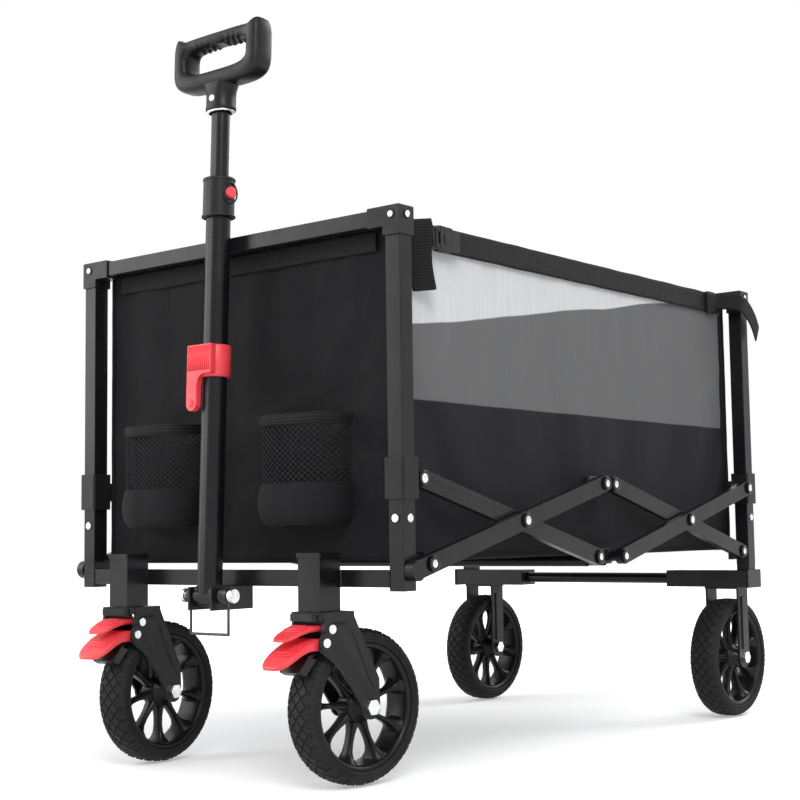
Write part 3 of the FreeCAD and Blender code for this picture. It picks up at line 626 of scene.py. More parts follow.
def ring_tree():
    """Copies of a block, evenly spaced about the X axis."""
    tree, given, out = new_tree("copies round an axle", [
        ("Block", "NodeSocketObject"), ("Count", "NodeSocketInt"), ("Start Angle", "NodeSocketFloat"),
        ("Finish", "NodeSocketMaterial")])
    add = tree.nodes.new
    link = tree.links.new
    points = add("GeometryNodePoints")
    index = add("GeometryNodeInputIndex")
    step = add("ShaderNodeMath")
    step.operation = "DIVIDE"
    step.inputs[0].default_value = 2 * math.pi
    turn = add("ShaderNodeMath")
    turn.operation = "MULTIPLY_ADD"
    spin = add("ShaderNodeCombineXYZ")
    block = add("GeometryNodeObjectInfo")
    copies = add("GeometryNodeInstanceOnPoints")
    link(given.outputs["Count"], points.inputs["Count"])
    link(given.outputs["Count"], step.inputs[1])
    link(index.outputs[0], turn.inputs[0])
    link(step.outputs[0], turn.inputs[1])
    link(given.outputs["Start Angle"], turn.inputs[2])
    link(turn.outputs[0], spin.inputs["X"])
    link(given.outputs["Block"], block.inputs["Object"])
    link(points.outputs[0], copies.inputs["Points"])
    link(block.outputs["Geometry"], copies.inputs["Instance"])
    link(spin.outputs[0], copies.inputs["Rotation"])
    finish_tree(tree, copies.outputs[0], given.outputs["Finish"], out)
    return tree


def row_tree():
    """Copies of a block in a straight row."""
    tree, given, out = new_tree("copies in a row", [
        ("Block", "NodeSocketObject"), ("Count", "NodeSocketInt"), ("Start", "NodeSocketVector"),
        ("Step", "NodeSocketVector"), ("Finish", "NodeSocketMaterial")])
    add = tree.nodes.new
    link = tree.links.new
    line = add("GeometryNodeMeshLine")
    line.mode = "OFFSET"
    block = add("GeometryNodeObjectInfo")
    copies = add("GeometryNodeInstanceOnPoints")
    link(given.outputs["Count"], line.inputs["Count"])
    link(given.outputs["Start"], line.inputs["Start Location"])
    link(given.outputs["Step"], line.inputs["Offset"])
    link(given.outputs["Block"], block.inputs["Object"])
    link(line.outputs[0], copies.inputs["Points"])
    link(block.outputs["Geometry"], copies.inputs["Instance"])
    finish_tree(tree, copies.outputs[0], given.outputs["Finish"], out)
    return tree


RING = ring_tree()
ROW = row_tree()


def repeated(name, tree, material, **values):
    """Run a tree once and keep its result as a plain mesh."""
    piece = bpy.data.objects.new(name, bpy.data.meshes.new(name))
    bpy.context.scene.collection.objects.link(piece)
    modifier = piece.modifiers.new("copies", "NODES")
    modifier.node_group = tree
    values["Finish"] = material
    for item in tree.interface.items_tree:
        if item.in_out == "INPUT" and item.name in values:
            modifier[item.identifier] = values[item.name]
    return one_finish(applied(piece), material)


def one_finish(piece, material):
    """Leave a piece with this one material."""
    piece.data.materials.clear()
    piece.data.materials.append(material)
    piece.data.polygons.foreach_set("material_index", [0] * len(piece.data.polygons))
    return piece


def joined(name, parts):
    """Several meshes with one material made one piece."""
    bm = bmesh.new()
    for part in parts:
        bm.from_mesh(part.data)
    material = parts[0].data.materials[0]
    for part in parts:
        bpy.data.objects.remove(part)
    return to_object(name, bm, material)


def block_of(name, bm):
    """A block for a tree to copy; removed with dropped()."""
    return to_object(name, bm, STEEL)


def dropped(*blocks):
    for block in blocks:
        bpy.data.objects.remove(block)


# ---- wheels --------------------------------------------------------------------------------
CARCASS = [(0, 82.9), (8, 82.6), (14, 81.6), (18.2, 79.2), (20.2, 76.2), (20.9, 73.6), (20.3, 72.7),
           (20.3, 71.9), (20.8, 71.0), (20.2, 69.2), (18, 68)]


def carcass_radius(x):
    x = abs(x)
    for (x0, r0), (x1, r1) in zip(CARCASS, CARCASS[1:6]):
        if x <= x1:
            return r0 + (r1 - r0) * (x - x0) / (x1 - x0)
    return CARCASS[5][1]


def tread_block(bm, corners, rise, taper):
    """A raised block whose corners are (across, angle), standing on the carcass."""
    cx = sum(c[0] for c in corners) / len(corners)
    ca = sum(c[1] for c in corners) / len(corners)
    foot, top = [], []
    for x, a in corners:
        low = carcass_radius(x) - 1.0
        foot.append(bm.verts.new((x, low * math.sin(a), low * math.cos(a))))
        x2, a2 = cx + (x - cx) * taper, ca + (a - ca) * taper
        high = carcass_radius(x2) + rise
        top.append(bm.verts.new((x2, high * math.sin(a2), high * math.cos(a2))))
    faces = [bm.faces.new(top), bm.faces.new(foot)]
    for k in range(len(corners)):
        n = (k + 1) % len(corners)
        faces.append(bm.faces.new((foot[k], foot[n], top[n], top[k])))
    bmesh.ops.recalc_face_normals(bm, faces=faces)


def tread_pitch():
    """One pitch of the tread: staggered diamonds and a lug on each shoulder."""
    bm = bmesh.new()
    step = 2 * math.pi / TREAD_PITCHES
    for x, late in ((-14, 0), (-7, 0.5), (0, 0), (7, 0.5), (14, 0)):
        a = late * step
        half_a = step * 0.46
        tread_block(bm, [(x - 6.4, a), (x, a + half_a), (x + 6.4, a), (x, a - half_a)],
                    TREAD_RISE, 0.84)
    for side in (-1, 1):
        for late in (0.25, 0.75):
            a = late * step
            lug = [(15.5, 0), (18.6, 0.2), (20.3, 0.12), (20.3, -0.12), (18.6, -0.2)]
            tread_block(bm, [(side * x, a + step * turn) for x, turn in lug], SHOULDER_RISE, 0.85)
    return block_of("tread_pitch", bm)


def tyre_mesh(name):
    profile = [(x, r) for x, r in CARCASS] + [(-x, r) for x, r in reversed(CARCASS[1:])]
    bm = bmesh.new()
    lathe(bm, profile, 136)
    carcass = to_object(name + "_carcass", bm, RUBBER)
    block = tread_pitch()
    tread = repeated(name + "_tread", RING, RUBBER, Block=block, Count=TREAD_PITCHES)
    dropped(block)
    tread.data.polygons.foreach_set("use_smooth", [False] * len(tread.data.polygons))
    bm = bmesh.new()
    bm.from_mesh(carcass.data)
    smooth_faces = len(bm.faces)
    bm.from_mesh(tread.data)
    dropped(carcass, tread)
    piece = to_object(name, bm, RUBBER, smooth=False)
    total = len(piece.data.polygons)
    piece.data.polygons.foreach_set("use_smooth", [i < smooth_faces for i in range(total)])
    return piece


# (distance from the axle, half thickness round the wheel, half width across it), in mm
SPOKE_STATIONS = [(12, 6.4, 9.5), (20, 4.7, 8.0), (30, 3.3, 6.4), (40, 2.9, 6.2), (49, 3.5, 7.2),
                  (56, 5.6, 10), (61, 10, 14.5), (63.5, 12.5, 16.5)]


def spoke_block():
    """A spoke that narrows in the middle and flares into the rim's barrel."""
    bm = bmesh.new()
    sections = []
    for radius, half_arc, half_wide in SPOKE_STATIONS:
        ring = []
        for k in range(16):
            t = 2 * math.pi * k / 16
            c, s = math.cos(t), math.sin(t)
            ring.append((half_wide * math.copysign(abs(c) ** 0.75, c),
                         half_arc * math.copysign(abs(s) ** 0.75, s), radius))
        sections.append(ring)
    loft(bm, sections)
    return block_of("spoke", bm)


def rim_mesh(name):
    bm = bmesh.new()
    lathe(bm, [(-18, 68), (-18.3, 66), (-17.6, 64.2), (-15.5, 62.8), (-11, 61.8), (0, 61.2), (11, 61.8),
               (15.5, 62.8), (17.6, 64.2), (18.3, 66), (18, 68)], 108)
    lathe(bm, [(-22, 5.3), (-22, 10.5), (-21, 11.5), (-13, 13.2), (-10, 17.5), (-8.5, 18.5), (8.5, 18.5),
               (10, 17.5), (13, 13.2), (21, 11.5), (22, 10.5), (22, 5.3)], 60)
    base = to_object(name + "_base", bm, RIM_PLASTIC)
    block = spoke_block()
    spokes = repeated(name + "_spokes", RING, RIM_PLASTIC, Block=block, Count=SPOKES)
    spokes.data.polygons.foreach_set("use_smooth", [True] * len(spokes.data.polygons))
    dropped(block)
    return joined(name, [base, spokes])


def make_wheel(end, side):
    centre = (FRONT_AXLE if end == "front" else REAR_AXLE)[side]
    turn = Matrix.Identity(4)
    if end == "front":
        axis = JOINTS["front_roll_" + side]["axis"]
        turn = Matrix.Rotation(math.atan2(axis[1], axis[0]), 4, "Z")
    spin = Matrix.Rotation(0.35 if side == "left" else 0.1, 4, "X")
    where = Matrix.Translation(centre) @ turn @ spin @ Matrix.Scale(MM, 4)
    body = f"{end}_wheel_{side}"
    place(tyre_mesh(f"{end}_tyre_{side}_tread"), body, where, [f"{end}_tyre_{side}"], "tyre_rubber")
    place(rim_mesh(f"{end}_rim_{side}_spoked"), body, where, [f"{end}_rim_{side}"], "rim_black")


# ---- casters -------------------------------------------------------------------------------
def make_caster(side):
    softened("caster_fork_" + side, 0.0011, PLASTIC, 3)
    softened("caster_bolts_" + side, 0.0006, SILVER)
    space = turn_of(side) @ Matrix.Scale(MM, 4)
    make_pedal(side, space, "lock", LOCK_STATIONS)
    make_pedal(side, space, "release", RELEASE_STATIONS)
    make_crown_ribs(side, space)
    make_pedal_pads(side, space)
    make_brake_shoe(side, space)


# (along the caster, top, underside, half width) of the two drooping pedals, from knuckle to toe
LOCK_STATIONS = [(-9.2, 157.5, 152, 22), (-11.5, 161, 149, 22), (-20, 161.2, 148.3, 22),
                 (-31, 158.6, 147.6, 22), (-42, 153.6, 144, 22), (-52, 147.4, 138.6, 21.6),
                 (-59, 142.4, 134.6, 20), (-64.5, 138.2, 131.8, 16.6), (-67.8, 135.4, 131, 11.5),
                 (-69, 134.2, 131.4, 8)]
RELEASE_STATIONS = [(-2.6, 173, 168.5, 17), (-5, 175.8, 167.2, 17), (-14, 176.2, 168.4, 17),
                    (-26, 174.6, 167.8, 17), (-37, 171.2, 165.6, 17), (-46, 167.2, 162.6, 16),
                    (-52, 163.8, 160.2, 13.4), (-55.4, 161.6, 159.2, 10), (-56.4, 160.8, 159.2, 7.6)]


def make_pedal(side, space, kind, stations):
    """A moulded pedal, flat over its bolt and drooping to a round toe."""
    sections = []
    for y, top, under, half in stations:
        ring = []
        for k in range(28):
            c, s = math.cos(2 * math.pi * k / 28), math.sin(2 * math.pi * k / 28)
            ring.append((half * math.copysign(abs(c) ** 0.3, c), y,
                         (top + under) / 2 + (top - under) / 2 * math.copysign(abs(s) ** 0.5, s)))
        sections.append(ring)
    bm = bmesh.new()
    loft(bm, sections)
    piece = to_object(f"{kind}_pedal_{side}_moulded", bm, RED)
    place(piece, f"{kind}_{side}", space, [f"{kind}_pedal_{side}"], "red_plastic")


def make_crown_ribs(side, space):
    """Pressed ridges on the crown's cheeks and the housing in front of it."""
    bm = bmesh.new()
    crown = [(-9, 152), (-9, 170), (-5, 175), (2, 176), (16, 176)]
    arm = [(23, 168), (33, 148), (45, 122), (56, 104)]
    for sign in (-1, 1):
        x = sign * 26.2
        for ridge, radius in ((crown, 1.7), (arm, 1.1)):
            pipe(bm, smooth_line([(x, y, z) for y, z in ridge], 5, False), radius)
        slab(bm, arc(-13, 158, 10.5, 0, 360, 28)[:-1], x - 1.2 * sign, x + 1.6 * sign)
    slab(bm, rounded_box_outline(-20, 20, -26, -14, 4), 179, 187, "XY")
    piece = to_object("caster_crown_" + side, bm, PLASTIC, smooth=False)
    place(rounded(piece, 0.5), "caster_" + side, space, slot="moulded_black")


def pad(bm, wide, long, high, centre, slope):
    start = len(bm.verts)
    outline = rounded_box_outline(-wide / 2, wide / 2, -long / 2, long / 2, min(wide, long) * 0.25)
    slab(bm, outline, 0, high, "XY")
    bm.verts.ensure_lookup_table()
    turn = Matrix.Translation(centre) @ Matrix.Rotation(slope, 4, "X")
    for vert in bm.verts[start:]:
        vert.co = turn @ vert.co


def make_pedal_pads(side, space):
    """Raised pads on top of the two pedals, each with a smaller panel on it."""
    for body, wide, long, centre, slope in (("lock_" + side, 34, 24, (0, -45, 150.6), 0.52),
                                            ("release_" + side, 25, 17, (0, -34.5, 171.3), 0.33)):
        bm = bmesh.new()
        pad(bm, wide, long, 1.9, centre, slope)
        pad(bm, wide - 10, long - 8, 2.9, centre, slope)
        piece = rounded(to_object(body + "_pad", bm, RED, smooth=False), 0.6, 3)
        place(piece, body, space, slot="red_plastic")


def make_brake_shoe(side, space):
    """Folded steel shoe under the lock pedal, which presses on the tyre."""
    bm = bmesh.new()
    slab(bm, [(-11, 151), (-30, 143), (-42, 127), (-34, 123), (-31.5, 125), (-37, 128), (-28, 139.5),
              (-11, 147)], -15, 15)
    for near, far in ((-17, -15), (15, 17)):
        slab(bm, [(-30, 143), (-42, 127), (-34, 123), (-18, 140)], near, far)
    piece = rounded(to_object("brake_shoe_" + side, bm, STEEL, smooth=False), 0.5)
    place(piece, "lock_" + side, space, slot="frame_steel")


# ---- handle --------------------------------------------------------------------------------
def make_handle():
    softened("handle_lower_tube", 0.0005, STEEL)
    softened("handle_upper_tube", 0.0005, STEEL)
    softened("handle_collar", 0.0014, PLASTIC, 3)
    softened("collar_button", 0.0016, RED, 3)
    space = handle_space() @ Matrix.Scale(MM, 4)
    make_collar_lips(space)
    make_clip(space)
    make_grip(space)


def oval(wide, deep, z, count=48):
    r = deep / 2
    c = wide / 2 - r
    ring = []
    for k in range(count):
        a = 2 * math.pi * k / count
        ring.append((math.copysign(c, math.cos(a)) + r * math.cos(a) if abs(math.cos(a)) > 1e-9 else 0,
                     r * math.sin(a), z))
    return ring


def oval_band(bm, wide, deep, sections):
    """A closed band round an oval tube, from (height, how far it stands out) pairs."""
    outer = [oval(wide + 2 * out, deep + 2 * out, z) for z, out in sections]
    inner = [oval(wide - 2, deep - 2, z) for z, _ in reversed(sections)]
    rings = [[bm.verts.new(p) for p in ring] for ring in outer + inner]
    faces = []
    for a, b in zip(rings, rings[1:] + rings[:1]):
        for k in range(len(a)):
            n = (k + 1) % len(a)
            faces.append(bm.faces.new((a[k], a[n], b[n], b[k])))
    bmesh.ops.recalc_face_normals(bm, faces=faces)


def make_collar_lips(space):
    bm = bmesh.new()
    for z, out in ((435, 1.4), (478, 0.7)):
        oval_band(bm, 38, 33, [(z - 1.6, 0.2), (z - 1, out), (z + 1, out), (z + 1.6, 0.2)])
    frame_pts = [(19.2, 10.4 * math.cos(t), 461 + 12 * math.sin(t)) for t in
                 [2 * math.pi * k / 32 for k in range(33)]]
    pipe(bm, frame_pts, 1.0)
    piece = to_object("collar_lips", bm, PLASTIC)
    place(piece, "handle", space, slot="moulded_black")


def make_clip(space):
    """Red clasp: a band round the tube, a ribbed plate on its front and a hook with a round end."""
    bm = bmesh.new()
    oval_band(bm, 30, 25, [(247, 3.0), (248.5, 4.0), (282.5, 4.0), (284, 3.0)])
    band = to_object("clip_band", bm, RED)
    bm = bmesh.new()
    hook = ([(-25, 284), (-25, 222)] + arc(-16.5, 216.5, 8.5, 180, 360, 14)
            + [(-8, 236), (-6, 245), (-1, 249), (6, 250), (14.5, 250), (14.5, 284)])
    slab(bm, hook, -20.5, -12.5, "XZ")
    plate = rounded(to_object("clip_plate", bm, RED, smooth=False), 1.0, 3)
    bm = bmesh.new()
    pipe(bm, [(0, 0, 0), (0, 0, 28)], 1.0, 8)
    block = block_of("rib", bm)
    ribs = repeated("clip_ribs", ROW, RED, Block=block, Count=11, Start=(-22, -20.6, 254),
                    Step=(3.3, 0, 0))
    dropped(block)
    bm = bmesh.new()
    dome(bm, (-16.5, -20.4, 217), (0, -1, 0), 4.6, 1.6)
    knob = to_object("clip_knob", bm, RED)
    clip = joined("handle_clip_ribbed", [band, plate, ribs, knob])
    place(clip, "handle", space, ["handle_clip"], "red_plastic")


def grip_section(t):
    """Outer and inner point and half depth of the grip's ring at turn t, as (x, z) about its middle."""
    c, s = math.cos(t), math.sin(t)
    out_x = 71 * math.copysign(abs(c) ** 0.36, c)
    out_z = 36 * math.copysign(abs(s) ** (0.36 if s > 0 else 0.5), s)
    in_x = 50 * math.copysign(abs(c) ** 0.5, c)
    in_z = 16 * math.copysign(abs(s) ** 0.5, s)
    deep = 15.0
    if s > 0:
        bar = max(0.0, 1 - (abs(in_x) / 50) ** 6)
        out_z -= 6.5 * bar
        deep -= 2.0 * bar
        wing = math.exp(-((abs(out_x) - 67) / 7) ** 2) * min(1, s * 2)
        out_z += 7.0 * wing
    return (out_x, out_z), (in_x, in_z), deep


def make_grip(space):
    """Closed D grip with a finger bar, ribbed on the slant, and the stem over the upper tube."""
    bm = bmesh.new()
    around, across = 288, 24
    rings = []
    for i in range(around):
        t = 2 * math.pi * i / around
        (ox, oz), (ix, iz), deep = grip_section(t)
        cx, cz = (ox + ix) / 2, (oz + iz) / 2
        ring = []
        for k in range(across):
            a = 2 * math.pi * k / across
            u = math.copysign(abs(math.cos(a)) ** 0.6, math.cos(a))
            v = math.copysign(abs(math.sin(a)) ** 0.6, math.sin(a))
            x, z, y = cx + (ox - cx) * u, cz + (oz - cz) * u, deep * v
            if math.sin(t) > 0.5 and abs(x) < 41 and u < 0.75:
                wave = max(0.0, math.sin(2 * math.pi * (x + y * 0.7) / 8.6))
                fade = min(1, (41 - abs(x)) / 6)
                z -= 1.7 * wave * fade * max(0, -u + 0.2)
                y += math.copysign(0.7, y) * wave * fade * (1 - abs(u))
            ring.append(bm.verts.new((x, y, z + 626)))
        rings.append(ring)
    for i in range(around):
        a, b = rings[i], rings[(i + 1) % around]
        for k in range(across):
            n = (k + 1) % across
            bm.faces.new((a[k], a[n], b[n], b[k]))
    bmesh.ops.recalc_face_normals(bm, faces=bm.faces)
    loft(bm, [oval(36.6, 29.6, 561), oval(38, 31, 562.5), oval(38, 31, 565), oval(36.8, 30, 566.5),
              oval(36.8, 30, 577), oval(38, 30, 584), oval(44, 30, 591), oval(50, 29, 597)])
    piece = to_object("handle_grip_ribbed", bm, PLASTIC)
    place(piece, "handle_upper", space, ["handle_grip"], "moulded_black")
    bm = bmesh.new()
    for side in (-1, 1):
        dome(bm, (0, side * 14.6, 574), (0, side, 0), 4.2, 1.8)
    oval_band(bm, 32, 25, [(558.6, 0.4), (559.2, 1.4), (560.8, 1.4), (561.4, 0.4)])
    place(to_object("grip_rivet", bm, SILVER), "handle_upper", space, slot="rivet_silver")


def dome(bm, centre, way, radius, high, steps=20):
    """Low rounded rivet head on a surface, facing way."""
    way = Vector(way).normalized()
    side = way.orthogonal().normalized()
    other = way.cross(side)
    sections = []
    for r, h in ((1.0, -0.4), (1.0, 0.15), (0.93, 0.5), (0.72, 0.85), (0.4, 0.98), (0.05, 1.0)):
        sections.append([Vector(centre) + way * high * h + radius * r * (
            math.cos(2 * math.pi * k / steps) * side + math.sin(2 * math.pi * k / steps) * other)
            for k in range(steps)])
    loft(bm, sections)


# ---- cloth ---------------------------------------------------------------------------------
def relaxed(piece, pinned, slack, seed):
    """Let a cloth sag into soft folds between the vertices that hold it."""
    group = piece.vertex_groups.new(name="held")
    group.add([v.index for v in piece.data.vertices if pinned(v.co)], 1.0, "REPLACE")
    chance = random.Random(seed)
    for v in piece.data.vertices:
        if not pinned(v.co):
            v.co += v.normal * chance.uniform(-0.0006, 0.0006)
    cloth = piece.modifiers.new("cloth", "CLOTH")
    cloth.settings.quality = 6
    cloth.settings.mass = 0.25
    cloth.settings.tension_stiffness = 60
    cloth.settings.compression_stiffness = 60
    cloth.settings.shear_stiffness = 30
    cloth.settings.bending_stiffness = 0.8
    cloth.settings.shrink_min = -slack
    cloth.settings.vertex_group_mass = "held"
    cloth.collision_settings.use_collision = False
    scene = bpy.context.scene
    for number in range(1, 26):
        scene.frame_set(number)
    piece = applied(piece)
    scene.frame_set(1)
    piece.vertex_groups.clear()
    return piece


def cloth_grid(name, point, across, up, material):
    """A sheet as a grid of points; point(u, v) gives ((x, y, z), (map u, map v))."""
    bm = bmesh.new()
    layer = bm.loops.layers.uv.new("map")
    grid = [[bm.verts.new(point(i / across, j / up)[0]) for j in range(up + 1)]
            for i in range(across + 1)]
    for i in range(across):
        for j in range(up):
            corners = ((i, j), (i + 1, j), (i + 1, j + 1), (i, j + 1))
            face = bm.faces.new([grid[a][b] for a, b in corners])
            for loop, (a, b) in zip(face.loops, corners):
                loop[layer].uv = point(a / across, b / up)[1]
    return to_object(name, bm, material)


def thickened(piece, thick, offset=0.0, smooth_levels=1):
    if smooth_levels:
        smooth = piece.modifiers.new("smooth", "SUBSURF")
        smooth.levels = smooth.render_levels = smooth_levels
    solid = piece.modifiers.new("thickness", "SOLIDIFY")
    solid.thickness = thick
    solid.offset = offset
    piece = applied(piece)
    piece.data.polygons.foreach_set("use_smooth", [True] * len(piece.data.polygons))
    return piece


def squashed(piece):
    """Give a soft piece its own copy of its mesh."""
    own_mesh(piece)
    return piece


def make_end_panel(end):
    """Front or rear panel of the basket: hangs from the rail by its hem."""
    low, high = (PANEL_LOW, PANEL_HIGH) if end == "front" else (BACK_LOW, BACK_HIGH)
    out = -1 if end == "front" else 1
    y = (PANEL_LOW.y + 0.002) if end == "front" else (BACK_HIGH.y - 0.002)
    half = SIDE_HIGH.x - 0.0005
    top = high.z - 0.004
    wide, tall = 2 * half, top - low.z

    def point(u, v):
        x, z = -half + wide * u, low.z + tall * v
        return (x, y, z), (x, z)

    def pinned(p):
        near_side = half - abs(p.x) < 0.004
        seam = end == "front" and p.z < POCKET_HIGH.z and any(
            abs(abs(p.x) - c) < 0.006 for c in (0.060, 0.170))
        return near_side or p.z > top - 0.012 or p.z < low.z + 0.006 or seam

    name = end + "_panel_cloth"
    panel = cloth_grid(name, point, 44, 36, CLOTH)
    if out > 0:
        panel.data.flip_normals()
    panel = relaxed(panel, pinned, 0.006, 11)
    panel = thickened(panel, 0.0024)
    panel.name = name
    place(panel, end + "_frame", replaces=[end + "_panel"], slot="cloth_black")
    make_rail_hem(end, y, out, low.z)


def make_rail_hem(end, y, out, low):
    """Knitted hem band round under the rail, piping down the sides and the seam stitches."""
    face = y + out * 0.0022
    half = HALF_WIDTH - 0.048
    top = POST_HIGH.z - TUBE + 0.001

    def band(u, v):
        x, z = -half + 2 * half * u, top - HEM_TALL + HEM_TALL * v
        ripple = (0.0004 * noise.noise((x * 45, z * 60, 3))
                  + 0.0008 * (1 - v) * noise.noise((x * 18, 2, 7)))
        drop = 0.0012 * noise.noise((x * 11, 5, 2)) * (1 - v)
        return (x, face + out * (0.0008 + 0.0009 * math.sin(math.pi * v) + ripple), z + drop), (x, z)

    hem = thickened(cloth_grid(end + "_hem_band", band, 120, 10, WEBBING), 0.0016)
    place(hem, end + "_frame", slot="cloth_black")
    bm = bmesh.new()
    side = SIDE_HIGH.x - 0.002
    for x in (-side, side):
        line = [(x, y + out * 0.001, low + 0.36 * k / 40) for k in range(41)]
        pipe(bm, [(p[0] + 0.0006 * noise.noise((0, 1, p[2] * 30)), p[1], p[2]) for p in line], 0.0028)
    pipe(bm, [(-side + 2 * side * k / 60, y + out * 0.0012, low + 0.002) for k in range(61)], 0.0028)
    place(to_object(end + "_piping", bm, CLOTH), end + "_frame", slot="cloth_black")
    stitches = stitch_row(end + "_hem_stitches", (-half, face + out * 0.0021, top - HEM_TALL + 0.003),
                          (0.0038, 0, 0), 111)
    place(stitches, end + "_frame", slot="cloth_black")


def stitch_row(name, start, step, count):
    way = Vector(step).normalized()
    bm = bmesh.new()
    pipe(bm, [way * -0.0013, way * 0.0013], 0.00045, 6)
    block = block_of("stitch", bm)
    row = repeated(name, ROW, THREAD, Block=block, Count=count, Start=start, Step=step)
    dropped(block)
    return row


def make_side_panel(side):
    """Two-tone side panel, pulled straight along its bound edges."""
    sign = 1 if side == "right" else -1
    x = sign * (SIDE_HIGH.x - 0.002)
    y0, y1 = SIDE_LOW.y, SIDE_HIGH.y
    z0, z1 = SIDE_LOW.z, SIDE_HIGH.z

    def point(u, v):
        y, z = y0 + (y1 - y0) * u, z0 + (z1 - z0) * v
        return (x, y, z), (y, z)

    def pinned(p):
        return (p.y - y0 < 0.004 or y1 - p.y < 0.004 or z1 - p.z < 0.006 or p.z - z0 < 0.006)

    name = f"side_panel_{side}_cloth"
    panel = cloth_grid(name, point, 56, 30, SIDE_CLOTH)
    if sign < 0:
        panel.data.flip_normals()
    panel = thickened(relaxed(panel, pinned, 0.0022, 5), 0.0022)
    panel.name = name
    replaced = ["side_panels"] if side == "right" else []
    place(panel, "mid_bottom", replaces=replaced, slot="cloth_grey")
    squashed(panel)
    bm = bmesh.new()
    inset = 0.0035
    corner = rounded_box_outline(y0 + inset, y1 - inset, z0 + 0.0035, z1 + 0.02, 0.03, 8)
    lower = [p for p in corner if p[1] < z1 - 0.03]
    lower.sort(key=lambda p: math.atan2(p[0] - (y0 + y1) / 2, -(p[1] - (z0 + z1) / 2)))
    lower = [(y0 + inset, z1 - 0.03)] + lower + [(y1 - inset, z1 - 0.03)]
    path = []
    for a, b in zip(lower, lower[1:]):
        steps = max(1, int(math.hypot(b[0] - a[0], b[1] - a[1]) / 0.012))
        path += [(a[0] + (b[0] - a[0]) * k / steps, a[1] + (b[1] - a[1]) * k / steps)
                 for k in range(steps)]
    path.append(lower[-1])
    pipe(bm, [(x + sign * 0.0004, p[0], p[1]) for p in path], 0.003, 10)
    binding = to_object(f"side_binding_{side}", bm, CLOTH)
    place(binding, "mid_bottom", slot="cloth_black")
    squashed(binding)


def make_floor():
    """Floor of the basket: one padded board panel, creased where it folds."""
    low, high = FLOOR_LOW, FLOOR_HIGH

    def point(u, v):
        x, y = low.x + (high.x - low.x) * u, low.y + (high.y - low.y) * v
        crease = sum(math.exp(-((v - c) / 0.008) ** 2) for c in (0.25, 0.5, 0.75))
        soft = 0.0008 * noise.noise((x * 14, y * 14, 1))
        return (x, y, high.z - 0.0022 - 0.0016 * crease + soft), (x, y)

    floor = thickened(cloth_grid("basket_floor_cloth", point, 40, 96, CLOTH), 0.0036, -0.2)
    floor.name = "basket_floor_cloth"
    place(floor, "mid_bottom", replaces=["floor_panel"], slot="cloth_black")
    squashed(floor)


# ---- pockets -------------------------------------------------------------------------------
def pocket_line(scale=1.0, bulge=0.0):
    """Half-round plan of a pocket from its back left corner to its back right one, in metres."""
    half = 0.055 * scale
    deep = (POCKET_HIGH.y - POCKET_LOW.y) * scale + bulge
    points = [(-half, 0.003), (-half - bulge, -0.45 * deep), (-0.80 * half - bulge, -0.84 * deep),
              (-0.42 * half, -0.985 * deep), (0, -deep), (0.42 * half, -0.985 * deep),
              (0.80 * half + bulge, -0.84 * deep), (half + bulge, -0.45 * deep), (half, 0.003)]
    return [(p.x, p.y) for p in smooth_line([(a, b, 0) for a, b in points], 6, False)]


def along(line, t):
    place_on = t * (len(line) - 1)
    k = min(int(place_on), len(line) - 2)
    f = place_on - k
    a, b = line[k], line[k + 1]
    return (a[0] + (b[0] - a[0]) * f, a[1] + (b[1] - a[1]) * f)


def make_pocket(side):
    sign = 1 if side == "right" else -1
    middle = sign * (POCKET_HIGH.x - 0.055)
    back = POCKET_HIGH.y
    z0, z1 = POCKET_LOW.z, POCKET_HIGH.z
    seam = z0 + 0.046
    levels = [(z0 + 0.004, 0.70, 0), (z0 + 0.0005, 0.82, 0), (z0 + 0.002, 0.93, 0),
              (z0 + 0.009, 0.985, 0.0015), (z0 + 0.022, 1.0, 0.003), (z0 + 0.034, 1.0, 0.0022),
              (seam, 0.985, 0.0005)]
    length = 0.19

    def cup(u, v):
        k = min(int(v * (len(levels) - 1)), len(levels) - 2)
        f = v * (len(levels) - 1) - k
        a, b = levels[k], levels[k + 1]
        z, scale, bulge = (a[i] + (b[i] - a[i]) * f for i in range(3))
        px, py = along(pocket_line(scale, bulge), u)
        fold = 0.0012 * noise.noise((u * 14, v * 2, sign * 3)) * (1 - v)
        return (middle + px * (1 + fold * 8), back + py * (1 + fold * 8), z), (u * length, z)

    pouch = thickened(cloth_grid(f"pocket_{side}_cloth", cup, 60, 18, CLOTH), 0.002, 0)
    pouch.name = f"pocket_{side}_cloth"
    place(pouch, "front_frame", replaces=["front_pockets"] if side == "right" else [], slot="cloth_black")

    def hem(u, v):
        z = z1 - 0.011 + 0.011 * v
        px, py = along(pocket_line(0.985, 0.0012 * math.sin(math.pi * v)), u)
        wave = 0.0011 * noise.noise((u * 9, 4, sign))
        return (middle + px, back + py, z + wave), (u * length, z)

    band = thickened(cloth_grid(f"pocket_hem_{side}", hem, 60, 5, WEBBING), 0.0026)
    place(band, "front_frame", slot="cloth_black")
    make_net(side, middle, back, seam - 0.003, z1 - 0.008, sign)


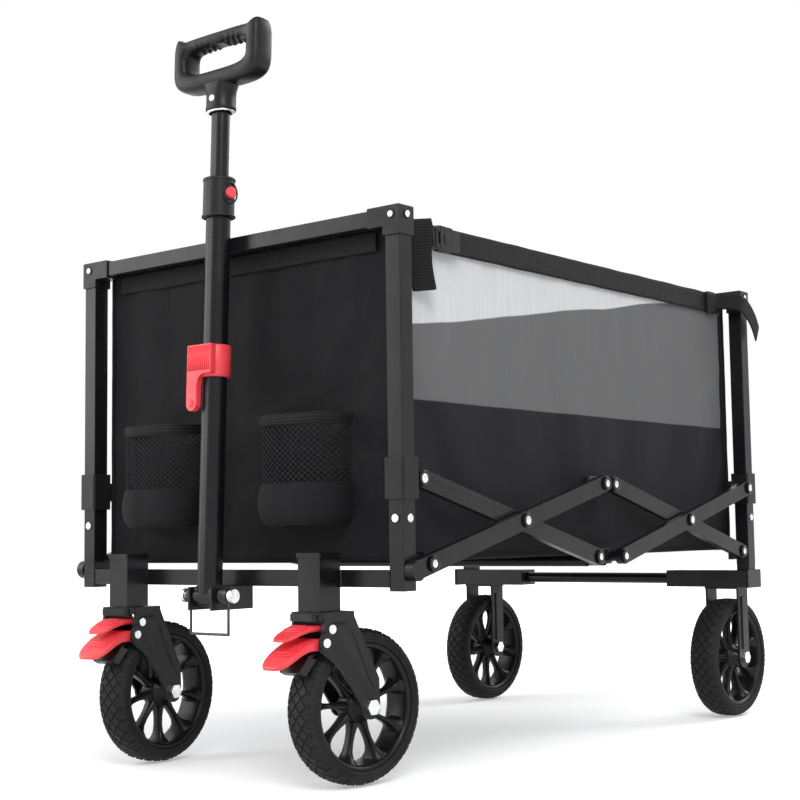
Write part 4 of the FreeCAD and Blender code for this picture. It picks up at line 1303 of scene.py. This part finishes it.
def net_tree():
    """Thin cord along every edge of a mesh."""
    tree, given, out = new_tree("cord along edges", [
        ("Cord Radius", "NodeSocketFloat"), ("Sides", "NodeSocketInt"), ("Finish", "NodeSocketMaterial")])
    to_curve = tree.nodes.new("GeometryNodeMeshToCurve")
    circle = tree.nodes.new("GeometryNodeCurvePrimitiveCircle")
    to_mesh = tree.nodes.new("GeometryNodeCurveToMesh")
    to_mesh.inputs["Fill Caps"].default_value = True
    tree.links.new(given.outputs["Geometry"], to_curve.inputs["Mesh"])
    tree.links.new(given.outputs["Sides"], circle.inputs["Resolution"])
    tree.links.new(given.outputs["Cord Radius"], circle.inputs["Radius"])
    tree.links.new(to_curve.outputs[0], to_mesh.inputs["Curve"])
    tree.links.new(circle.outputs[0], to_mesh.inputs["Profile Curve"])
    finish_tree(tree, to_mesh.outputs[0], given.outputs["Finish"], out)
    return tree


CORD = net_tree()


def make_net(side, middle, back, low, high, sign):
    """Open diamond net between the pocket's cloth foot and its hem."""
    bm = bmesh.new()
    columns, rows = 46, 22
    line = pocket_line(0.985, 0.0)
    grid = {}
    for j in range(rows + 1):
        for i in range(columns + 1):
            if (i + j) % 2:
                continue
            px, py = along(line, i / columns)
            sag = 0.0012 * math.sin(math.pi * j / rows) * noise.noise((i * 0.3, j * 0.2, sign * 2))
            grid[i, j] = bm.verts.new((middle + px * (1 + sag * 6), back + py * (1 + sag * 10),
                                       low + (high - low) * j / rows))
    for (i, j), vert in list(grid.items()):
        for side_step in (-1, 1):
            other = grid.get((i + side_step, j + 1))
            if other:
                bm.edges.new((vert, other))
    net = to_object(f"pocket_net_{side}", bm, NET)
    modifier = net.modifiers.new("cord", "NODES")
    modifier.node_group = CORD
    values = {"Cord Radius": 0.00055, "Sides": 5, "Finish": NET}
    for item in CORD.interface.items_tree:
        if item.in_out == "INPUT" and item.name in values:
            modifier[item.identifier] = values[item.name]
    net = one_finish(applied(net), NET)
    place(net, "front_frame", slot="cloth_black")


# ---- straps and buckles --------------------------------------------------------------------
def ribbon(name, path, wide_way, half, thick, material, soft=0.0):
    """A flat band that follows a path; half its width lies each way along wide_way."""
    path = [Vector(p) for p in path]
    wide_way = Vector(wide_way)
    lengths = [0.0]
    for a, b in zip(path, path[1:]):
        lengths.append(lengths[-1] + (b - a).length)

    def point(u, v):
        k = min(int(u * (len(path) - 1)), len(path) - 2)
        f = u * (len(path) - 1) - k
        p = path[k].lerp(path[k + 1], f)
        along_it = lengths[k] + (lengths[k + 1] - lengths[k]) * f
        p = p + wide_way * half * (2 * v - 1)
        ripple = soft * noise.noise((along_it * 25, v, 5))
        return (p.x + ripple, p.y, p.z + ripple), (v * 2 * half, along_it)

    band = cloth_grid(name, point, 2 * (len(path) - 1), 4, material)
    band = thickened(band, thick, 0)
    band.name = name
    return band


def make_straps(side):
    sign = 1 if side == "right" else -1
    z = (STRAP_LOW.z + STRAP_HIGH.z) / 2 + 0.001
    half = (STRAP_HIGH.z - STRAP_LOW.z) / 2
    x = sign * (STRAP_HIGH.x + 0.0004)
    y0, y1 = STRAP_LOW.y, STRAP_HIGH.y
    path = [(x + sign * 0.0006 * noise.noise((k * 0.4, 1, 1)), y0 + (y1 - y0) * k / 40, z)
            for k in range(41)]
    strap = ribbon(f"side_strap_{side}", path, (0, 0, 1), half, 0.0016, WEBBING, 0.0005)
    place(strap, "mid_bottom", replaces=["side_straps"] if side == "right" else [], slot="cloth_black")
    squashed(strap)
    make_buckle(side, sign)
    make_front_tail(side, sign)
    make_rear_tail(side, sign)


def make_front_tail(side, sign):
    """Loose end of the strap, folded down from the buckle, with a cut end."""
    x = sign * 0.2395
    y = BUCKLE_LOW.y - 0.012
    top = BUCKLE_HIGH.z
    shape = [(-0.003, 0.003, -0.003), (0, 0, 0.001), (0.003, -0.001, -0.010), (0.002, -0.002, -0.030),
             (0.001, 0, -0.052), (0.004, 0.003, -0.078)]
    path = smooth_line([(x + sign * out, y + back, top + drop) for out, back, drop in shape], 5, False)
    tail = ribbon(f"front_tail_{side}", path, (sign * 0.5, 0.8, 0.1), 0.0145, 0.0016, WEBBING, 0.0006)
    place(tail, "front_frame", slot="cloth_black")


def make_rear_tail(side, sign):
    """Adjuster near the rear post and the strap's free end, which hangs outside the post."""
    x = sign * (STRAP_HIGH.x + 0.001)
    y = REAR_HIGH.y - 0.050
    z = STRAP_HIGH.z - 0.010
    outside = HALF_WIDTH + 0.005
    points = [(x, y - 0.010, z), (x + sign * 0.008, y + 0.004, z)]
    hanging = [(0, 0.020, -0.004), (0.004, 0.036, -0.014), (0.006, 0.050, -0.030), (0.006, 0.060, -0.046)]
    points += [(sign * (outside + out), y + back, z + drop) for out, back, drop in hanging]
    path = smooth_line(points, 5, False)
    tail = ribbon(f"rear_tail_{side}", path, (0, 0.42, 0.9), 0.0125, 0.0016, WEBBING, 0.0006)
    place(tail, "rear_frame", slot="cloth_black")
    bm = bmesh.new()
    slab(bm, rounded_box_outline(y - 0.030, y - 0.006, STRAP_LOW.z - 0.002, STRAP_HIGH.z + 0.002, 0.003),
         x, x + sign * 0.005)
    for k in range(3):
        yy = y - 0.026 + 0.007 * k
        bar = [(x + sign * 0.0052, yy, z_end) for z_end in (STRAP_LOW.z + 0.002, STRAP_HIGH.z - 0.002)]
        pipe(bm, bar, 0.0011, 8)
    piece = rounded(to_object(f"strap_adjuster_{side}", bm, PLASTIC, smooth=False), 0.0006)
    place(piece, "rear_frame", slot="moulded_black")


def make_buckle(side, sign):
    """Side-release buckle: socket, prongs with squeeze tabs, and a ladder bar."""
    low, high = BUCKLE_LOW, BUCKLE_HIGH
    x0 = sign * (high.x - 0.009)
    x1 = sign * high.x
    z0, z1 = low.z, high.z
    zc = (z0 + z1) / 2
    y0, y1 = low.y, high.y
    length = y1 - y0
    bm = bmesh.new()
    mouth, lip = y0 + 0.42 * length, y0 + 0.38 * length
    socket = [(mouth, z0 + 0.001), (y1 - 0.016, z0 + 0.001), (y1 - 0.012, z0 + 0.003), (y1, z0 + 0.003),
              (y1, z1 - 0.003), (y1 - 0.012, z1 - 0.003), (y1 - 0.016, z1 - 0.001), (mouth, z1 - 0.001),
              (lip, z1 - 0.008), (lip, z0 + 0.008)]
    slab(bm, socket, x0, x1)
    plug_end = y0 + 0.34 * length
    plug = [(y0, z0 + 0.002), (plug_end, z0 + 0.002), (plug_end, z1 - 0.002), (y0, z1 - 0.002)]
    slab(bm, plug, x0 + sign * 0.001, x1 - sign * 0.001)
    for z in (z0 + 0.0045, z1 - 0.0045):
        tab = rounded_box_outline(y0 + 0.30 * length, y0 + 0.62 * length, z - 0.004, z + 0.004, 0.0035)
        slab(bm, tab, x0 + sign * 0.0015, x1 - sign * 0.0005)
    slab(bm, rounded_box_outline(y0 + 0.50 * length, y1 - 0.020, zc - 0.006, zc + 0.006, 0.003),
         x1 - sign * 0.001, x1 + sign * 0.0008)
    for k in range(3):
        yy = y0 + 0.004 + 0.0055 * k
        pipe(bm, [(x1 - sign * 0.0006, yy, z0 + 0.004), (x1 - sign * 0.0006, yy, z1 - 0.004)], 0.0013, 8)
    piece = rounded(to_object(f"strap_buckle_{side}", bm, PLASTIC, smooth=False), 0.0009, 3)
    place(piece, "front_frame", replaces=["strap_buckles"] if side == "right" else [],
          slot="moulded_black")


# ---- frame steel and mouldings -------------------------------------------------------------
def make_frame():
    for node in ("front_posts", "rear_posts", "front_top_rail", "rear_top_rail", "front_crossbar"):
        softened(node, 0.0016, STEEL, 3)
    for node in ("rear_crossbar", "mid_cross_frame", "mid_top_plates", "front_pivot_brackets",
                 "rear_pivot_brackets", "handle_bracket"):
        softened(node, 0.0007, STEEL)
    for node in ("front_lower_bars", "front_upper_bars", "rear_lower_bars", "rear_upper_bars"):
        softened(node, 0.0026, STEEL, 4)
    for node in ("caster_sockets", "rear_boxes"):
        softened(node, 0.0014, STEEL, 3)
    softened("rear_forks", 0.0009, PLASTIC, 3)
    for node in ("front_corner_caps", "rear_corner_caps", "front_sliders", "rear_sliders"):
        softened(node, 0.0016, PLASTIC, 3)
    for node in ("front_stop_rivets", "rear_stop_rivets", "front_cross_rivets", "rear_cross_rivets",
                 "front_slider_pins", "rear_slider_pins", "handle_pivot_bolt", "rear_axles"):
        softened(node, 0.0005, SILVER)
    softened("handle_spring", 0.0001, WIRE)


def make_welds():
    """Weld beads where the caster sockets meet the crossbar and the crossbar the posts."""
    bm = bmesh.new()
    bar_low, bar_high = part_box("front_crossbar")
    socket_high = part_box("caster_sockets")[1]
    half = 0.016             # weld line to weld line across a socket, halved
    chance = random.Random(4)
    for sign in (-1, 1):
        centre = sign * (socket_high.x - 0.0175)
        for x in (centre - half, centre + half):
            path = [(x, FRONT_Y - 0.0005, bar_low.z + (bar_high.z - bar_low.z) * k / 9)
                    for k in range(10)]
            pipe(bm, [(p[0] + chance.uniform(-0.0004, 0.0004), p[1], p[2]) for p in path], 0.0018, 8)
        x = sign * bar_high.x
        for y in (bar_low.y, bar_high.y):
            path = [(x, y, bar_low.z + (bar_high.z - bar_low.z) * k / 9) for k in range(10)]
            pipe(bm, [(p[0], p[1] + chance.uniform(-0.0003, 0.0003), p[2]) for p in path], 0.0013, 8)
    place(to_object("weld_beads", bm, STEEL), "front_frame", slot="frame_steel")


PIN_JOINTS = ("fold", "rear_fold", "mid_top_pin", "front_foot", "rear_foot", "front_slider",
              "rear_slider", "front_cross", "rear_cross")
# (along the pin from the head's face, radius) of the black collar round a silver rivet, in mm
COLLAR = [(-2.2, 8.4), (-0.2, 8.4), (0.3, 7.9), (0.3, 5.3), (0, 5.0), (-2.2, 5.0)]


def make_rivets():
    """Silver heads on the corner caps and over the pins of the scissor bars."""
    cap_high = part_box("front_corner_caps")[1]
    head_z = cap_high.z - TUBE / 2
    for end, way in (("front", -1), ("rear", 1)):
        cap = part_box(end + "_corner_caps")
        face = cap[0].y if way < 0 else cap[1].y
        side_y = face - way * (TUBE / 2 + 0.0032)
        bm = bmesh.new()
        for sign in (-1, 1):
            dome(bm, (sign * (HALF_WIDTH - TUBE / 2), face, head_z), (0, way, 0), 0.0036, 0.0007)
            dome(bm, (sign * cap_high.x, side_y, head_z), (sign, 0, 0), 0.0036, 0.0007)
        place(to_object(end + "_cap_rivets", bm, SILVER), end + "_frame", slot="rivet_silver")
    at = {joint: JOINTS[joint]["pos_m"] for joint in PIN_JOINTS}
    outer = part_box("mid_top_plates")[1].x
    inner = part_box("front_slider_pins")[1].x
    far_pin = [0, at["rear_fold"][1], at["mid_top_pin"][2]]
    pin_heads("mid_bottom", (inner, at["fold"]), (outer, at["rear_fold"]))
    pin_heads("mid_top", (outer, at["mid_top_pin"]), (inner, far_pin))
    for end in ("front", "rear"):
        pin_heads(end + "_frame", (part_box(end + "_pivot_brackets")[1].x, at[end + "_foot"]))
    for end in ("front", "rear"):
        for node, joint in (("slider_pins", "slider"), ("cross_rivets", "cross")):
            node = f"{end}_{node}"
            pin_heads(BODY_OF[node], (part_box(node)[1].x, at[f"{end}_{joint}"]), name=node)


def pin_heads(body, *heads, name=None):
    """A silver rivet in a black collar over each pin, on the left and on the right."""
    rivets, collars = bmesh.new(), bmesh.new()
    for x, pivot in heads:
        for sign in (-1, 1):
            dome(rivets, (sign * (x - 0.0005), pivot[1], pivot[2]), (sign, 0, 0), 0.0050, 0.0008)
            ring = bmesh.new()
            lathe(ring, [(along_pin * MM, radius * MM) for along_pin, radius in COLLAR], 40)
            turn = Matrix.Rotation(math.pi if sign < 0 else 0, 4, "Z")
            ring.transform(Matrix.Translation((sign * x, pivot[1], pivot[2])) @ turn)
            flat = bpy.data.meshes.new("collar")
            ring.to_mesh(flat)
            ring.free()
            collars.from_mesh(flat)
            bpy.data.meshes.remove(flat)
    place(to_object((name or body) + "_heads", rivets, SILVER), body, slot="rivet_silver")
    place(to_object((name or body) + "_collars", collars, STEEL), body, slot="frame_steel")


# ---- everything together -------------------------------------------------------------------
make_camera()
make_world()
make_lamp("key", (2.4, -2.6, 3.0), (0, 0, 0.35), 1.8, 95)
make_lamp("fill", (-2.8, -2.2, 1.6), (0, 0, 0.4), 2.4, 55)
make_lamp("rim", (1.2, 3.0, 2.6), (0, 0, 0.4), 1.8, 60)
make_ground()
make_frame()
make_welds()
make_rivets()
for which in ("left", "right"):
    make_wheel("front", which)
    make_wheel("rear", which)
    make_caster(which)
    make_side_panel(which)
    make_pocket(which)
    make_straps(which)
make_end_panel("front")
make_end_panel("rear")
make_floor()
make_handle()
